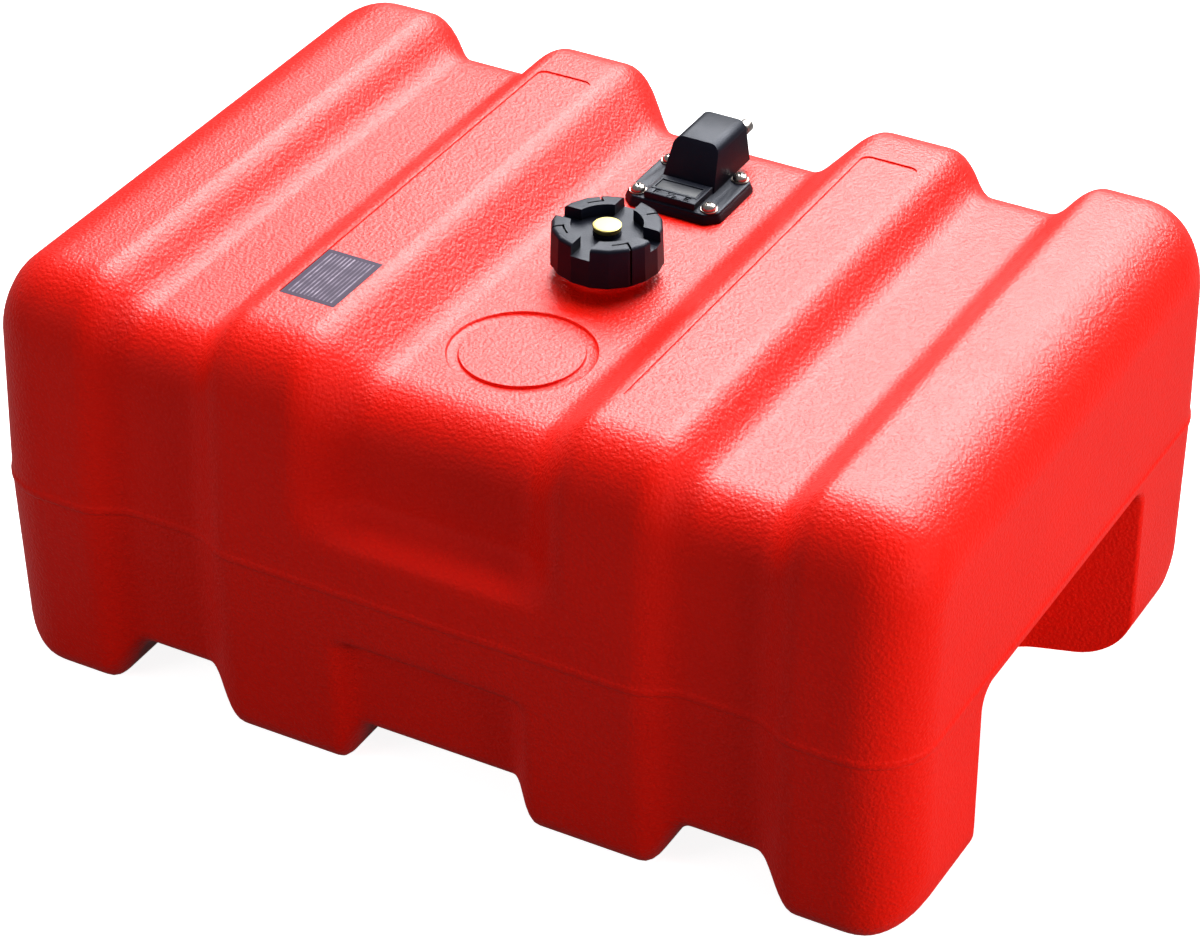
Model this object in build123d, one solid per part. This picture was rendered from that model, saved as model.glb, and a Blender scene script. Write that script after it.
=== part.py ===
"""Outboard fuel tank: blow-moulded shell, vented filler cap, fuel gauge and hose connector.

Millimetres, +Z up. X runs along the tank, -Y is the front long side, +Y the side the hose
plugs into. Heights are counted from a datum just above the soles of the feet, and every
piece is lifted when it is written, so that the ground is at zero. One STEP file per piece.
"""
import math
import os

from build123d import *

# ---------------------------------------------------------------- tank shell
HALF_LENGTH = 318.8        # shell at the parting line; the bead stands 1.2 mm further out
HALF_DEPTH = 229.3
PARTING_Z = 138.0          # height of the mould parting line
RIB_TOP_Z = 291.5          # top of the four ribs
UPPER_DRAFT = math.tan(math.radians(2.5))
LOWER_DRAFT = math.tan(math.radians(3.3))
WALL = 4.5

RIB_CORNER = 41.0          # long top edges of the ribs
CHANNEL_CORNER = 37.0      # long top edges of the channels
FOOT_CORNER = 18.0         # long bottom edges
GAP_CORNER = 14.0          # long edges of the gaps between the feet
FOOT_Z = -3.0              # feet, below the datum the heights are counted from
END_CORNER = 42.0          # all round each end face

SIDE_CHANNEL_Z = 268.0     # floor of the two side channels
SIDE_CHANNEL_IN = 12.0     # how far they stand back from the long sides
SIDE_GAP_Z = 30.0          # underside between the outer and inner feet
SIDE_RIB_X = 240.0         # inner edge of the end ribs
SIDE_OUT_X = 221.0         # channel floor starts
SIDE_IN_X = 165.0          # channel floor ends
MID_RIB_X = 147.0          # outer edge of the middle ribs

MID_CHANNEL_Z = 260.5      # floor of the wide middle channel
MID_CHANNEL_IN = 23.0      # depth of the finger recess above the ledge
MID_RIB_IN_X = 90.0        # inner edge of the middle ribs
MID_FLOOR_X = 60.0         # half width of the middle floor
LEDGE_LOW_Z = 177.0        # outer edge of the finger ledge
LEDGE_HIGH_Z = 188.0       # its inner edge

LOW_RECESS_Z = 101.0       # top of the shallow recess between the middle feet
LOW_RECESS_IN_Z = 95.0
LOW_RECESS_IN = 9.0
MID_GAP_Z = 26.0           # underside between the middle feet
LOW_FLOOR_X = 56.0
LOW_RIB_X = 67.0

HAND_HOLD_TOP_Z = 131.0    # arch through each end between the feet
HAND_HOLD_HALF = 122.0     # half width at the end face
HAND_HOLD_IN_HALF = 96.0   # half width at its inner end
HAND_HOLD_IN_X = 236.0

BEAD_PROUD = 1.2
BEAD_HALF_HEIGHT = 3.2

PANEL_X = 118.0            # recessed panels along the two middle ribs
PANEL_WIDTH = 39.0
PANEL_LENGTH = 320.0
PANEL_DEEP = 0.8
RING_Y = -106.0            # annular recess in front of the filler
RING_OUTER = 46.6
RING_INNER = 38.2
RING_DEEP = 1.6

# ---------------------------------------------------------------- filler
NECK_TOP_Z = 279.5
NECK_CORE_R = 24.5
NECK_THREAD_R = 26.0
NECK_BORE_R = 21.0
CAP_FLOOR_Z = 285.5        # recessed disc of the cap
CAP_TOP_Z = 295.0          # top of the grip segments
CAP_SKIRT_Z = 262.0
CAP_R = 35.0
CAP_INNER_R = 26.4
CAP_CEILING_Z = 282.5
CAP_FACETS = 18
GRIP_INNER_R = 22.5
GRIP_GAP = 13.0
VENT_R = 9.7
VENT_TOP_Z = 295.8

# ---------------------------------------------------------------- gauge unit
GAUGE_Y = 109.0
FLANGE_X = 66.0
FLANGE_Y = 59.0
FLANGE_LOW_Z = 262.5
FLANGE_TOP_Z = 267.5
OPENING_R = 25.0
SCREW_X = 25.5
SCREW_Y = 21.5
BLOCK_TOP_Z = 272.0
BLOCK_FRONT_Y = 81.5
BLOCK_BACK_Y = 106.8
BLOCK_HALF = 18.0
WINDOW_HALF = 14.0
WINDOW_FRONT_Y = 90.0
WINDOW_BACK_Y = 100.0
SHAFT_Y = 100.5            # vertical pointer shaft
SHAFT_R = 1.5
HOOD_TOP_Z = 295.5
HOOD_FRONT_Y = 107.2
HOOD_BACK_Y = 157.0
STEM_X = 6.5               # fuel way down from the connector
STEM_Y = 124.0
NIPPLE_Z = 280.0

# ---------------------------------------------------------------- float and pickup
PIVOT_Z = 150.0
ARM_LENGTH = 105.0
ARM_REST = math.radians(50.0)   # below level with the tank empty
ARM_Y = 105.5
FLOAT_R = 14.5
FLOAT_LENGTH = 40.0
PICKUP_FOOT_X = 115.0

BIG = 320.0


def box(x0, x1, y0, y1, z0, z1):
    """Box from its six faces."""
    centre = ((x0 + x1) / 2, (y0 + y1) / 2, (z0 + z1) / 2)
    return Pos(*centre) * Box(x1 - x0, y1 - y0, z1 - z0)


def cylinder(x, y, z0, z1, radius):
    """Upright cylinder."""
    return Pos(x, y, (z0 + z1) / 2) * Cylinder(radius, z1 - z0)


def cylinder_y(x, z, y0, y1, radius):
    """Cylinder lying along Y."""
    return Pos(x, (y0 + y1) / 2, z) * Rot(X=90) * Cylinder(radius, y1 - y0)


def wall_y(z):
    """Half depth of the outside at height z, with the mould draft."""
    if z > PARTING_Z:
        return HALF_DEPTH - (z - PARTING_Z) * UPPER_DRAFT
    return HALF_DEPTH - (PARTING_Z - z) * LOWER_DRAFT


def edges_at_x(solid, x):
    """Edges lying in the plane at x."""
    found = []
    for edge in solid.edges():
        bounds = edge.bounding_box()
        if abs(bounds.min.X - x) < 0.05 and abs(bounds.max.X - x) < 0.05:
            found.append(edge)
    return found


def edges_between(solid, low, high, side, above):
    """Edges whose ends lie low..high from the middle plane, on one side, above a height."""
    found = []
    for edge in solid.edges():
        start = abs(edge.position_at(0).X)
        finish = abs(edge.position_at(1).X)
        centre = edge.center()
        inside = low <= min(start, finish) and max(start, finish) <= high
        if inside and centre.X * side > 0 and centre.Z > above:
            found.append(edge)
    return found


def rib_section(x, inset, top, bottom, top_corner, bottom_corner):
    """Cross-section of the tank at x as a rounded outline."""
    outline = [
        (-(wall_y(bottom) - inset), bottom),
        (wall_y(bottom) - inset, bottom),
        (HALF_DEPTH - inset, PARTING_Z),
        (wall_y(top) - inset, top),
        (-(wall_y(top) - inset), top),
        (-(HALF_DEPTH - inset), PARTING_Z),
    ]
    with BuildSketch(Plane.YZ.offset(x)) as sketch:
        with BuildLine():
            Polyline(*outline, close=True)
        make_face()
        fillet([v for v in sketch.vertices() if v.Y < bottom + 1], bottom_corner)
        fillet([v for v in sketch.vertices() if abs(v.Y - PARTING_Z) < 1], 60)
        fillet([v for v in sketch.vertices() if v.Y > top - 1], top_corner)
    return sketch.sketch


def ribbed_body(inset):
    """End ribs, side channels and the broad middle as one lofted body."""
    def rib(x):
        return rib_section(x, inset, RIB_TOP_Z - inset, FOOT_Z + inset,
                           RIB_CORNER - inset, FOOT_CORNER - inset)

    def channel(x):
        return rib_section(x, SIDE_CHANNEL_IN + inset, SIDE_CHANNEL_Z - inset, SIDE_GAP_Z + inset,
                           CHANNEL_CORNER - inset, GAP_CORNER - inset)

    half = inset / 2
    stations = [
        (HALF_LENGTH - inset, rib),
        (SIDE_RIB_X + half, rib),
        (SIDE_OUT_X + half, channel),
        (SIDE_IN_X - half, channel),
        (MID_RIB_X - half, rib),
    ]
    sections = [make(-x) for x, make in stations]
    sections += [make(x) for x, make in reversed(stations)]
    body = loft(sections, ruled=True)
    if inset == 0:
        for side in (-1, 1):
            body = body.fillet(7, edges_at_x(body, side * SIDE_RIB_X))
            body = body.fillet(18, edges_at_x(body, side * SIDE_OUT_X))
            body = body.fillet(18, edges_at_x(body, side * SIDE_IN_X))
            body = body.fillet(7, edges_at_x(body, side * MID_RIB_X))
    for side in (-1, 1):
        body = body.fillet(END_CORNER - inset, edges_at_x(body, side * (HALF_LENGTH - inset)))
    return body


def upper_section(x, depth, floor, inset, corner):
    """Outline of the space above the middle floor and in front of the finger recess."""
    lip = wall_y(LEDGE_LOW_Z) + 3
    step = wall_y(LEDGE_HIGH_Z) - depth - inset
    crown = wall_y(floor) - depth - inset
    outline = [
        (-BIG, LEDGE_LOW_Z - inset - 1),
        (-lip, LEDGE_LOW_Z - inset),
        (-step, LEDGE_HIGH_Z - inset),
        (-crown, floor - inset),
        (crown, floor - inset),
        (step, LEDGE_HIGH_Z - inset),
        (lip, LEDGE_LOW_Z - inset),
        (BIG, LEDGE_LOW_Z - inset - 1),
        (BIG, 360),
        (-BIG, 360),
    ]
    with BuildSketch(Plane.YZ.offset(x)) as sketch:
        with BuildLine():
            Polyline(*outline, close=True)
        make_face()
        fillet([v for v in sketch.vertices() if abs(v.Y - floor + inset) < 0.5], corner - inset)
        fillet([v for v in sketch.vertices() if abs(v.Y - LEDGE_HIGH_Z + inset) < 0.5], 9 + inset)
    return sketch.sketch


def lower_section(x, depth, floor, inset, corner):
    """Outline of the space under the middle and in front of the shallow lower recess."""
    lip = wall_y(LOW_RECESS_Z) + 3
    step = wall_y(LOW_RECESS_IN_Z) - depth - inset
    base = wall_y(floor) - depth - inset
    outline = [
        (-BIG, LOW_RECESS_Z + inset + 1),
        (-lip, LOW_RECESS_Z + inset),
        (-step, LOW_RECESS_IN_Z + inset),
        (-base, floor + inset),
        (base, floor + inset),
        (step, LOW_RECESS_IN_Z + inset),
        (lip, LOW_RECESS_Z + inset),
        (BIG, LOW_RECESS_Z + inset + 1),
        (BIG, -60),
        (-BIG, -60),
    ]
    with BuildSketch(Plane.YZ.offset(x)) as sketch:
        with BuildLine():
            Polyline(*outline, close=True)
        make_face()
        fillet([v for v in sketch.vertices() if abs(v.Y - floor - inset) < 0.5], corner - inset)
    return sketch.sketch


def middle_channel(inset):
    """Cutter for the middle channel with its finger recesses, front and back."""
    half = inset / 2
    clear = 1.5
    wide = MID_RIB_IN_X + half
    narrow = MID_FLOOR_X + half
    sections = [
        upper_section(-wide, -clear, RIB_TOP_Z + clear, inset, RIB_CORNER),
        upper_section(-narrow, MID_CHANNEL_IN, MID_CHANNEL_Z, inset, 40.0),
        upper_section(narrow, MID_CHANNEL_IN, MID_CHANNEL_Z, inset, 40.0),
        upper_section(wide, -clear, RIB_TOP_Z + clear, inset, RIB_CORNER),
    ]
    return loft(sections, ruled=True)


def middle_gap(inset):
    """Cutter for the gap under the middle with its shallow recesses, front and back."""
    half = inset / 2
    clear = 1.5
    wide = LOW_RIB_X + half
    narrow = LOW_FLOOR_X + half
    sections = [
        lower_section(-wide, -clear, FOOT_Z - clear, inset, FOOT_CORNER),
        lower_section(-narrow, LOW_RECESS_IN, MID_GAP_Z, inset, GAP_CORNER),
        lower_section(narrow, LOW_RECESS_IN, MID_GAP_Z, inset, GAP_CORNER),
        lower_section(wide, -clear, FOOT_Z - clear, inset, FOOT_CORNER),
    ]
    return loft(sections, ruled=True)


def hand_hold(side, inset):
    """Cutter for the arch between the feet of one end."""
    outer = HAND_HOLD_HALF + inset
    inner = HAND_HOLD_IN_HALF + inset
    near = side * (HALF_LENGTH + 12)
    far = side * (HAND_HOLD_IN_X - inset)
    spread = outer + 12 * (outer - inner) / (HALF_LENGTH - HAND_HOLD_IN_X)
    with BuildSketch(Plane.XY.offset(-20)) as sketch:
        with BuildLine():
            Polyline((near, -spread), (near, spread), (far, inner), (far, -inner), close=True)
        make_face()
        fillet([v for v in sketch.vertices() if abs(v.X - far) < 1], 24 + inset)
    block = extrude(sketch.sketch, 20 + HAND_HOLD_TOP_Z + inset)
    rim = []
    for edge in block.edges():
        at_top = abs(edge.center().Z - HAND_HOLD_TOP_Z - inset) < 0.01
        if at_top and abs(edge.center().X - near) > 1:
            rim.append(edge)
    return block.fillet(16 + inset, rim)


def tank_form(inset):
    """Tank outline with every surface moved in by inset."""
    body = ribbed_body(inset) - middle_channel(inset) - middle_gap(inset)
    if inset == 0:
        for side in (-1, 1):
            body = body.fillet(12, edges_between(body, MID_FLOOR_X - 0.5, MID_FLOOR_X + 0.5, side, 186))
            body = body.fillet(7, edges_between(body, MID_RIB_IN_X - 3, MID_RIB_IN_X, side, 186))
    for side in (-1, 1):
        body = body - hand_hold(side, inset)
    return body


def parting_bead():
    """Rounded band standing proud of the shell along the parting line."""
    corners = [
        (HALF_LENGTH, HALF_DEPTH),
        (SIDE_RIB_X, HALF_DEPTH),
        (SIDE_OUT_X, HALF_DEPTH - SIDE_CHANNEL_IN),
        (SIDE_IN_X, HALF_DEPTH - SIDE_CHANNEL_IN),
        (MID_RIB_X, HALF_DEPTH),
    ]
    outline = corners + [(-x, y) for x, y in reversed(corners)]
    outline += [(-x, -y) for x, y in corners] + [(x, -y) for x, y in reversed(corners)]
    with BuildSketch(Plane.XY.offset(PARTING_Z)) as sketch:
        with BuildLine():
            Polyline(*outline, close=True)
        make_face()
        fillet([v for v in sketch.vertices() if abs(abs(v.X) - HALF_LENGTH) < 1], END_CORNER)
        fillet([v for v in sketch.vertices() if abs(abs(v.X) - SIDE_RIB_X) < 1], 10)
        fillet([v for v in sketch.vertices() if abs(abs(v.X) - SIDE_OUT_X) < 1], 20)
        fillet([v for v in sketch.vertices() if abs(abs(v.X) - SIDE_IN_X) < 1], 20)
        fillet([v for v in sketch.vertices() if abs(abs(v.X) - MID_RIB_X) < 1], 10)
        offset(amount=BEAD_PROUD)
    band = extrude(sketch.sketch, BEAD_HALF_HEIGHT, both=True)
    rims = [e for e in band.edges() if abs(abs(e.center().Z - PARTING_Z) - BEAD_HALF_HEIGHT) < 0.01]
    return band.fillet(1.1, rims)


def grip_panel(x):
    """Cutter for one long recessed panel."""
    with BuildSketch(Plane.XY.offset(RIB_TOP_Z - PANEL_DEEP)) as sketch:
        with Locations((x, 0)):
            Rectangle(PANEL_WIDTH, PANEL_LENGTH)
        fillet([v for v in sketch.vertices() if v.Y > 0], 6)
        fillet([v for v in sketch.vertices() if v.Y < -PANEL_LENGTH / 4], 0.8)
    return extrude(sketch.sketch, 5)


def screw_places():
    """Centres of the four gauge screws."""
    return [(sx * SCREW_X, GAUGE_Y + sy * SCREW_Y) for sy in (-1, 1) for sx in (-1, 1)]


def make_neck():
    """Filler neck with plain rings in place of its thread."""
    neck = cylinder(0, 0, MID_CHANNEL_Z - WALL, NECK_TOP_Z, NECK_CORE_R)
    for level in (266.5, 270.5, 274.5):
        turn = cylinder(0, 0, level, level + 1.6, NECK_THREAD_R)
        neck = neck + chamfer(turn.edges().filter_by(GeomType.CIRCLE), 0.7)
    return neck


def make_tank_shell():
    """Hollow tank with neck, insert bosses and gauge opening."""
    ring = cylinder(0, RING_Y, MID_CHANNEL_Z - RING_DEEP, MID_CHANNEL_Z + 5, RING_OUTER)
    ring = ring - cylinder(0, RING_Y, MID_CHANNEL_Z - 5, MID_CHANNEL_Z + 10, RING_INNER)
    shell = tank_form(0.0) + parting_bead()
    shell = shell.cut(tank_form(WALL), grip_panel(-PANEL_X), grip_panel(PANEL_X), ring)
    bosses = [cylinder(x, y, 244.0, MID_CHANNEL_Z - 1, 6.5) for x, y in screw_places()]
    shell = shell.fuse(make_neck(), *bosses)
    holes = [cylinder(x, y, 250.0, MID_CHANNEL_Z + 5, 4.0) for x, y in screw_places()]
    bore = cylinder(0, 0, 240, NECK_TOP_Z + 5, NECK_BORE_R)
    opening = cylinder(0, GAUGE_Y, 240, NECK_TOP_Z, OPENING_R)
    return shell.cut(bore, opening, *holes)


def make_rating_label():
    """Thin blank plate on the front end of the left panel."""
    low = RIB_TOP_Z - PANEL_DEEP
    return box(-PANEL_X - 19.0, -PANEL_X + 19.0, -159.2, -102.5, low, low + 0.35)


def make_cap_body():
    """Faceted cap with four grip segments round a recessed disc."""
    with BuildSketch(Plane.XY.offset(CAP_SKIRT_Z + 3)) as low:
        RegularPolygon(CAP_R, CAP_FACETS)
    with BuildSketch(Plane.XY.offset(CAP_TOP_Z)) as high:
        RegularPolygon(CAP_R - 1.2, CAP_FACETS)
    cap = loft([low.sketch, high.sketch], ruled=True)
    cap = chamfer([e for e in cap.edges() if abs(e.center().Z - CAP_TOP_Z) < 0.01], 1.2)
    cap = cap + cylinder(0, 0, CAP_SKIRT_Z, CAP_SKIRT_Z + 4, CAP_R - 2.2)
    cap = cap - cylinder(0, 0, CAP_FLOOR_Z, CAP_TOP_Z + 5, GRIP_INNER_R)
    for angle in (0, 90):
        cap = cap - Rot(Z=angle) * box(-50, 50, -GRIP_GAP / 2, GRIP_GAP / 2, CAP_FLOOR_Z, CAP_TOP_Z + 5)
    for angle in (45, 135, 225, 315):
        slot = box(28.4, 40, -0.6, 0.6, CAP_TOP_Z - 1, CAP_TOP_Z + 5)
        slot = slot + box(CAP_R - 1.9, 40, -0.6, 0.6, CAP_SKIRT_Z + 3, CAP_TOP_Z)
        slot = slot + box(28.4, 29.6, -0.6, 9, CAP_TOP_Z - 1, CAP_TOP_Z + 5)
        cap = cap - Rot(Z=angle) * slot
    cap = cap + cylinder(0, 0, CAP_FLOOR_Z - 1, 290.5, 9.3)
    cap = cap - cylinder(0, 0, CAP_SKIRT_Z - 5, CAP_CEILING_Z, CAP_INNER_R)
    return cap - cylinder(0, 0, CAP_CEILING_Z - 5, 300, 3.0)


def make_cap_gasket():
    """Flat ring sealing the cap on the neck."""
    ring = cylinder(0, 0, NECK_TOP_Z, CAP_CEILING_Z, NECK_CORE_R)
    return ring - cylinder(0, 0, NECK_TOP_Z - 5, CAP_CEILING_Z + 5, NECK_BORE_R + 1)


def make_vent_screw():
    """Brass thumb screw that opens the air vent."""
    knob = Pos(0, 0, (290.9 + VENT_TOP_Z) / 2) * Cone(VENT_R - 1.0, VENT_R, VENT_TOP_Z - 290.9)
    knob = chamfer([e for e in knob.edges() if e.center().Z > VENT_TOP_Z - 0.1], 0.5)
    knob = knob - cylinder(0, 0, 285, 292.0, 6.6)
    shank = cylinder(0, 0, 281.0, 293.0, 2.95)
    tip = Pos(0, 0, 280.4) * Cone(1.9, 2.95, 1.2)
    return knob + shank + tip


def make_vent_seal():
    """Soft washer under the thumb screw."""
    ring = cylinder(0, 0, 290.5, 292.0, 6.3) - cylinder(0, 0, 280, 300, 3.1)
    return ring.fillet(0.4, [e for e in ring.edges().filter_by(GeomType.CIRCLE) if e.radius > 5])


def make_gauge_gasket():
    """Rubber gasket between the gauge flange and the tank."""
    with BuildSketch(Plane.XY.offset(MID_CHANNEL_Z)) as sketch:
        with Locations((0, GAUGE_Y)):
            RectangleRounded(FLANGE_X - 6, FLANGE_Y - 5, 8)
            Circle(OPENING_R + 0.2, mode=Mode.SUBTRACT)
        with Locations(*screw_places()):
            Circle(2.8, mode=Mode.SUBTRACT)
    return extrude(sketch.sketch, FLANGE_LOW_Z - MID_CHANNEL_Z)


def bars(strokes, x, y, deep):
    """Small sunk marks from straight strokes, read from the back of the tank."""
    marks = None
    for x0, y0, x1, y1 in strokes:
        low_x = x - max(x0, x1)
        high_x = x - min(x0, x1)
        low_y = y - max(y0, y1)
        high_y = y - min(y0, y1)
        bar = box(low_x, high_x, low_y, high_y, BLOCK_TOP_Z - deep, BLOCK_TOP_Z + 2)
        marks = bar if marks is None else marks + bar
    return marks


def level_marks():
    """F, one half and E along the front of the gauge block."""
    full = [(-1.6, -2, -0.9, 2), (-1.6, 1.3, 1.5, 2), (-1.6, -0.3, 1, 0.4)]
    empty = [(-1.6, -2, -0.9, 2), (-1.6, 1.3, 1.5, 2), (-1.6, -0.3, 1, 0.4), (-1.6, -2, 1.5, -1.3)]
    one = [(-2.4, 0.2, -1.8, 2.1)]
    bar_line = [(-2.7, -0.3, 2.7, 0.1)]
    two = [(0.6, -0.9, 2.4, -0.5), (1.9, -1.5, 2.4, -0.5), (0.6, -1.7, 2.4, -1.3),
           (0.6, -2.4, 1.1, -1.3), (0.6, -2.6, 2.4, -2.2)]
    marks = bars(full, -10.5, 85.6, 0.5) + bars(empty, 10.5, 85.6, 0.5)
    return marks + bars(one, 0, 85.6, 0.5) + bars(bar_line, 0, 85.6, 0.5) + bars(two, 0, 85.6, 0.5)


def make_gauge_flange():
    """Flange plate with the window block and the pocket for the dial."""
    with BuildSketch(Plane.XY.offset(FLANGE_LOW_Z - 1.6)) as sketch:
        with Locations((0, GAUGE_Y)):
            Rectangle(FLANGE_X, FLANGE_Y)
            chamfer(sketch.vertices(), 7)
    plate = extrude(sketch.sketch, FLANGE_TOP_Z - FLANGE_LOW_Z + 1.6)
    corners = plate.edges().filter_by(Axis.Z)
    plate = plate.fillet(4, corners)
    plate = plate.fillet(1.4, [e for e in plate.edges() if abs(e.center().Z - FLANGE_TOP_Z) < 0.01])
    under = box(-FLANGE_X / 2 + 2, FLANGE_X / 2 - 2, GAUGE_Y - FLANGE_Y / 2 + 1.6,
                GAUGE_Y + FLANGE_Y / 2 - 1.6, 255, FLANGE_LOW_Z)
    under = under.fillet(7, under.edges().filter_by(Axis.Z))
    plate = plate - under
    block = box(-BLOCK_HALF, BLOCK_HALF, BLOCK_FRONT_Y, BLOCK_BACK_Y, FLANGE_TOP_Z - 1, BLOCK_TOP_Z)
    block = block.fillet(0.8, [e for e in block.edges() if e.center().Z > BLOCK_TOP_Z - 0.1])
    plate = plate + block
    plate = plate - box(-16, 16, 88, 104.6, 255, 270)
    plate = plate - box(-WINDOW_HALF, WINDOW_HALF, WINDOW_FRONT_Y, WINDOW_BACK_Y, 260, 280)
    plate = plate - box(-WINDOW_HALF - 1, WINDOW_HALF + 1, WINDOW_FRONT_Y - 1, WINDOW_BACK_Y + 1,
                        270.8, 280)
    for x, y in screw_places():
        plate = plate - cylinder(x, y, 250, 280, 2.75)
    plate = plate - cylinder(STEM_X, STEM_Y, 250, 280, 4.55)
    return plate - level_marks()


def make_gauge_lens():
    """Clear window over the pointer."""
    return box(-WINDOW_HALF - 0.95, WINDOW_HALF + 0.95, WINDOW_FRONT_Y - 0.95, WINDOW_BACK_Y + 0.95,
               270.8, 271.8)


def make_gauge_dial():
    """Plate under the pointer, carrying the top bearing of its shaft."""
    plate = box(-15.95, 15.95, 88.05, 104.55, 264.0, 265.5)
    return plate - cylinder(0, SHAFT_Y, 250, 280, SHAFT_R + 0.05)


def make_gauge_pointer():
    """Pointer, vertical shaft and the small gear at its foot."""
    shaft = cylinder(0, SHAFT_Y, 160.6, 268.4, SHAFT_R)
    shaft = shaft + cylinder(0, SHAFT_Y, 266.6, 268.6, 2.4)
    shaft = shaft + cylinder(0, SHAFT_Y, 160.4, 163.0, 7.2)
    blade = box(0, 9.0, -0.8, 0.8, 267.6, 268.4)
    return shaft + Pos(0, SHAFT_Y, 0) * Rot(Z=-40) * blade


def make_connector_hood():
    """Tapered cover over the connector, open below and at the hose."""
    def ring(level, half, front, back, corner):
        with BuildSketch(Plane.XY.offset(level)) as sketch:
            with Locations((0, (front + back) / 2)):
                RectangleRounded(2 * half, back - front, corner)
        return sketch.sketch

    outer = loft([ring(FLANGE_TOP_Z, 18, HOOD_FRONT_Y, HOOD_BACK_Y, 3),
                  ring(HOOD_TOP_Z, 14.4, 120.0, HOOD_BACK_Y - 0.6, 3)], ruled=True)
    outer = outer.fillet(3.0, [e for e in outer.edges() if abs(e.center().Z - HOOD_TOP_Z) < 0.01])
    inner = loft([ring(FLANGE_TOP_Z - 1, 16, HOOD_FRONT_Y + 2.4, HOOD_BACK_Y - 2, 2),
                  ring(HOOD_TOP_Z - 2.4, 12.4, 121.6, HOOD_BACK_Y - 2.6, 2)], ruled=True)
    hood = outer - inner
    return hood - box(-12.5, 12.5, 140, 170, 272, 288) - cylinder_y(STEM_X, NIPPLE_Z, 140, 170, 5.2)


def make_hose_connector():
    """Plated twin-pin connector: fuel nipple, guide pin and the way down to the pickup."""
    body = cylinder_y(STEM_X, NIPPLE_Z, STEM_Y - 4, 160, 4.8)
    body = body + cylinder(STEM_X, STEM_Y, FLANGE_TOP_Z, NIPPLE_Z + 3, 5.0)
    body = body + cylinder(STEM_X, STEM_Y, 255, FLANGE_TOP_Z + 1, 4.5)
    body = body + cylinder(STEM_X, STEM_Y, 241, 256, 3.8)
    plate = box(-11.8, 11.8, 153.4, 160, 272.3, 287.7)
    plate = plate.fillet(4, plate.edges().filter_by(Axis.Y))
    body = body + plate
    body = body + cylinder_y(STEM_X, NIPPLE_Z, 159, 177, 4.5)
    guide = cylinder_y(-7.5, NIPPLE_Z, 159, 175, 3.2)
    guide = guide.fillet(1.5, [e for e in guide.edges() if e.center().Y > 174.9])
    body = body + guide
    groove = cylinder_y(STEM_X, NIPPLE_Z, 168.5, 169.9, 6) - cylinder_y(STEM_X, NIPPLE_Z, 160, 180, 3.5)
    body = body - groove
    body = body - cylinder_y(STEM_X, NIPPLE_Z, STEM_Y, 190, 2.2)
    return body - cylinder(STEM_X, STEM_Y, 230, NIPPLE_Z, 2.0)


def make_connector_ring():
    """O-ring round the fuel nipple."""
    return Pos(STEM_X, 169.2, NIPPLE_Z) * Rot(X=90) * Torus(3.98, 0.46)


def make_pickup_tube():
    """Flexible pickup tube from the connector into one foot of the tank."""
    with BuildLine() as path:
        FilletPolyline((STEM_X, STEM_Y, 254.5), (STEM_X, STEM_Y, 112),
                       (PICKUP_FOOT_X, STEM_Y, 78), (PICKUP_FOOT_X, STEM_Y, 26), radius=26)
    start = Plane(origin=(STEM_X, STEM_Y, 254.5), z_dir=(0, 0, -1))
    with BuildSketch(start) as ring:
        Circle(5.6)
        Circle(3.85, mode=Mode.SUBTRACT)
    return sweep(ring.sketch, path=path.wire())


def make_pickup_strainer():
    """Weighted strainer on the end of the pickup tube."""
    body = cylinder(PICKUP_FOOT_X, STEM_Y, 8, 34, 9.0)
    body = body.fillet(2, body.edges().filter_by(GeomType.CIRCLE))
    body = body - cylinder(PICKUP_FOOT_X, STEM_Y, 25.5, 60, 5.65)
    return body - cylinder(PICKUP_FOOT_X, STEM_Y, 12, 40, 3.4)


def make_sender_leg():
    """Leg hanging from the flange, with the float pivot and the lower shaft bearing."""
    leg = box(-6, 6, 111.0, 114.0, 142, FLANGE_LOW_Z)
    leg = leg + box(-8, 4, 108.0, 115.5, 259.5, FLANGE_LOW_Z)
    leg = leg + box(-5, 5, 96.0, 112.0, 165, 168)
    leg = leg - cylinder(0, SHAFT_Y, 150, 180, SHAFT_R + 0.05)
    return leg - cylinder_y(0, PIVOT_Z, 100, 120, 1.5)


def make_pivot_pin():
    """Pin the float arm swings on."""
    return cylinder_y(0, PIVOT_Z, 102.0, 114.0, 1.5) + cylinder_y(0, PIVOT_Z, 101.0, 102.0, 2.8)


def make_float_arm():
    """Wire arm with its hub and the small gear that turns the pointer shaft."""
    hub = cylinder_y(0, PIVOT_Z, 102.3, 110.7, 3.6)
    hub = hub + cylinder_y(0, PIVOT_Z, 107.4, 109.4, 10.0)
    wire = Pos(0, ARM_Y, PIVOT_Z) * Rot(Y=-90 - math.degrees(ARM_REST)) * Pos(0, 0, (ARM_LENGTH + 9) / 2 + 1.5)
    wire = wire * Cylinder(1.4, ARM_LENGTH + 6)
    return (hub + wire) - cylinder_y(0, PIVOT_Z, 95, 120, 1.55)


def make_float_body():
    """Foam float on the end of the arm."""
    x = -ARM_LENGTH * math.cos(ARM_REST)
    z = PIVOT_Z - ARM_LENGTH * math.sin(ARM_REST)
    body = cylinder_y(x, z, ARM_Y - FLOAT_LENGTH / 2, ARM_Y + FLOAT_LENGTH / 2, FLOAT_R)
    body = body.fillet(2, body.edges().filter_by(GeomType.CIRCLE))
    bore = Pos(0, ARM_Y, PIVOT_Z) * Rot(Y=-90 - math.degrees(ARM_REST)) * Pos(0, 0, 60)
    return body - bore * Cylinder(1.42, 112)


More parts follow.
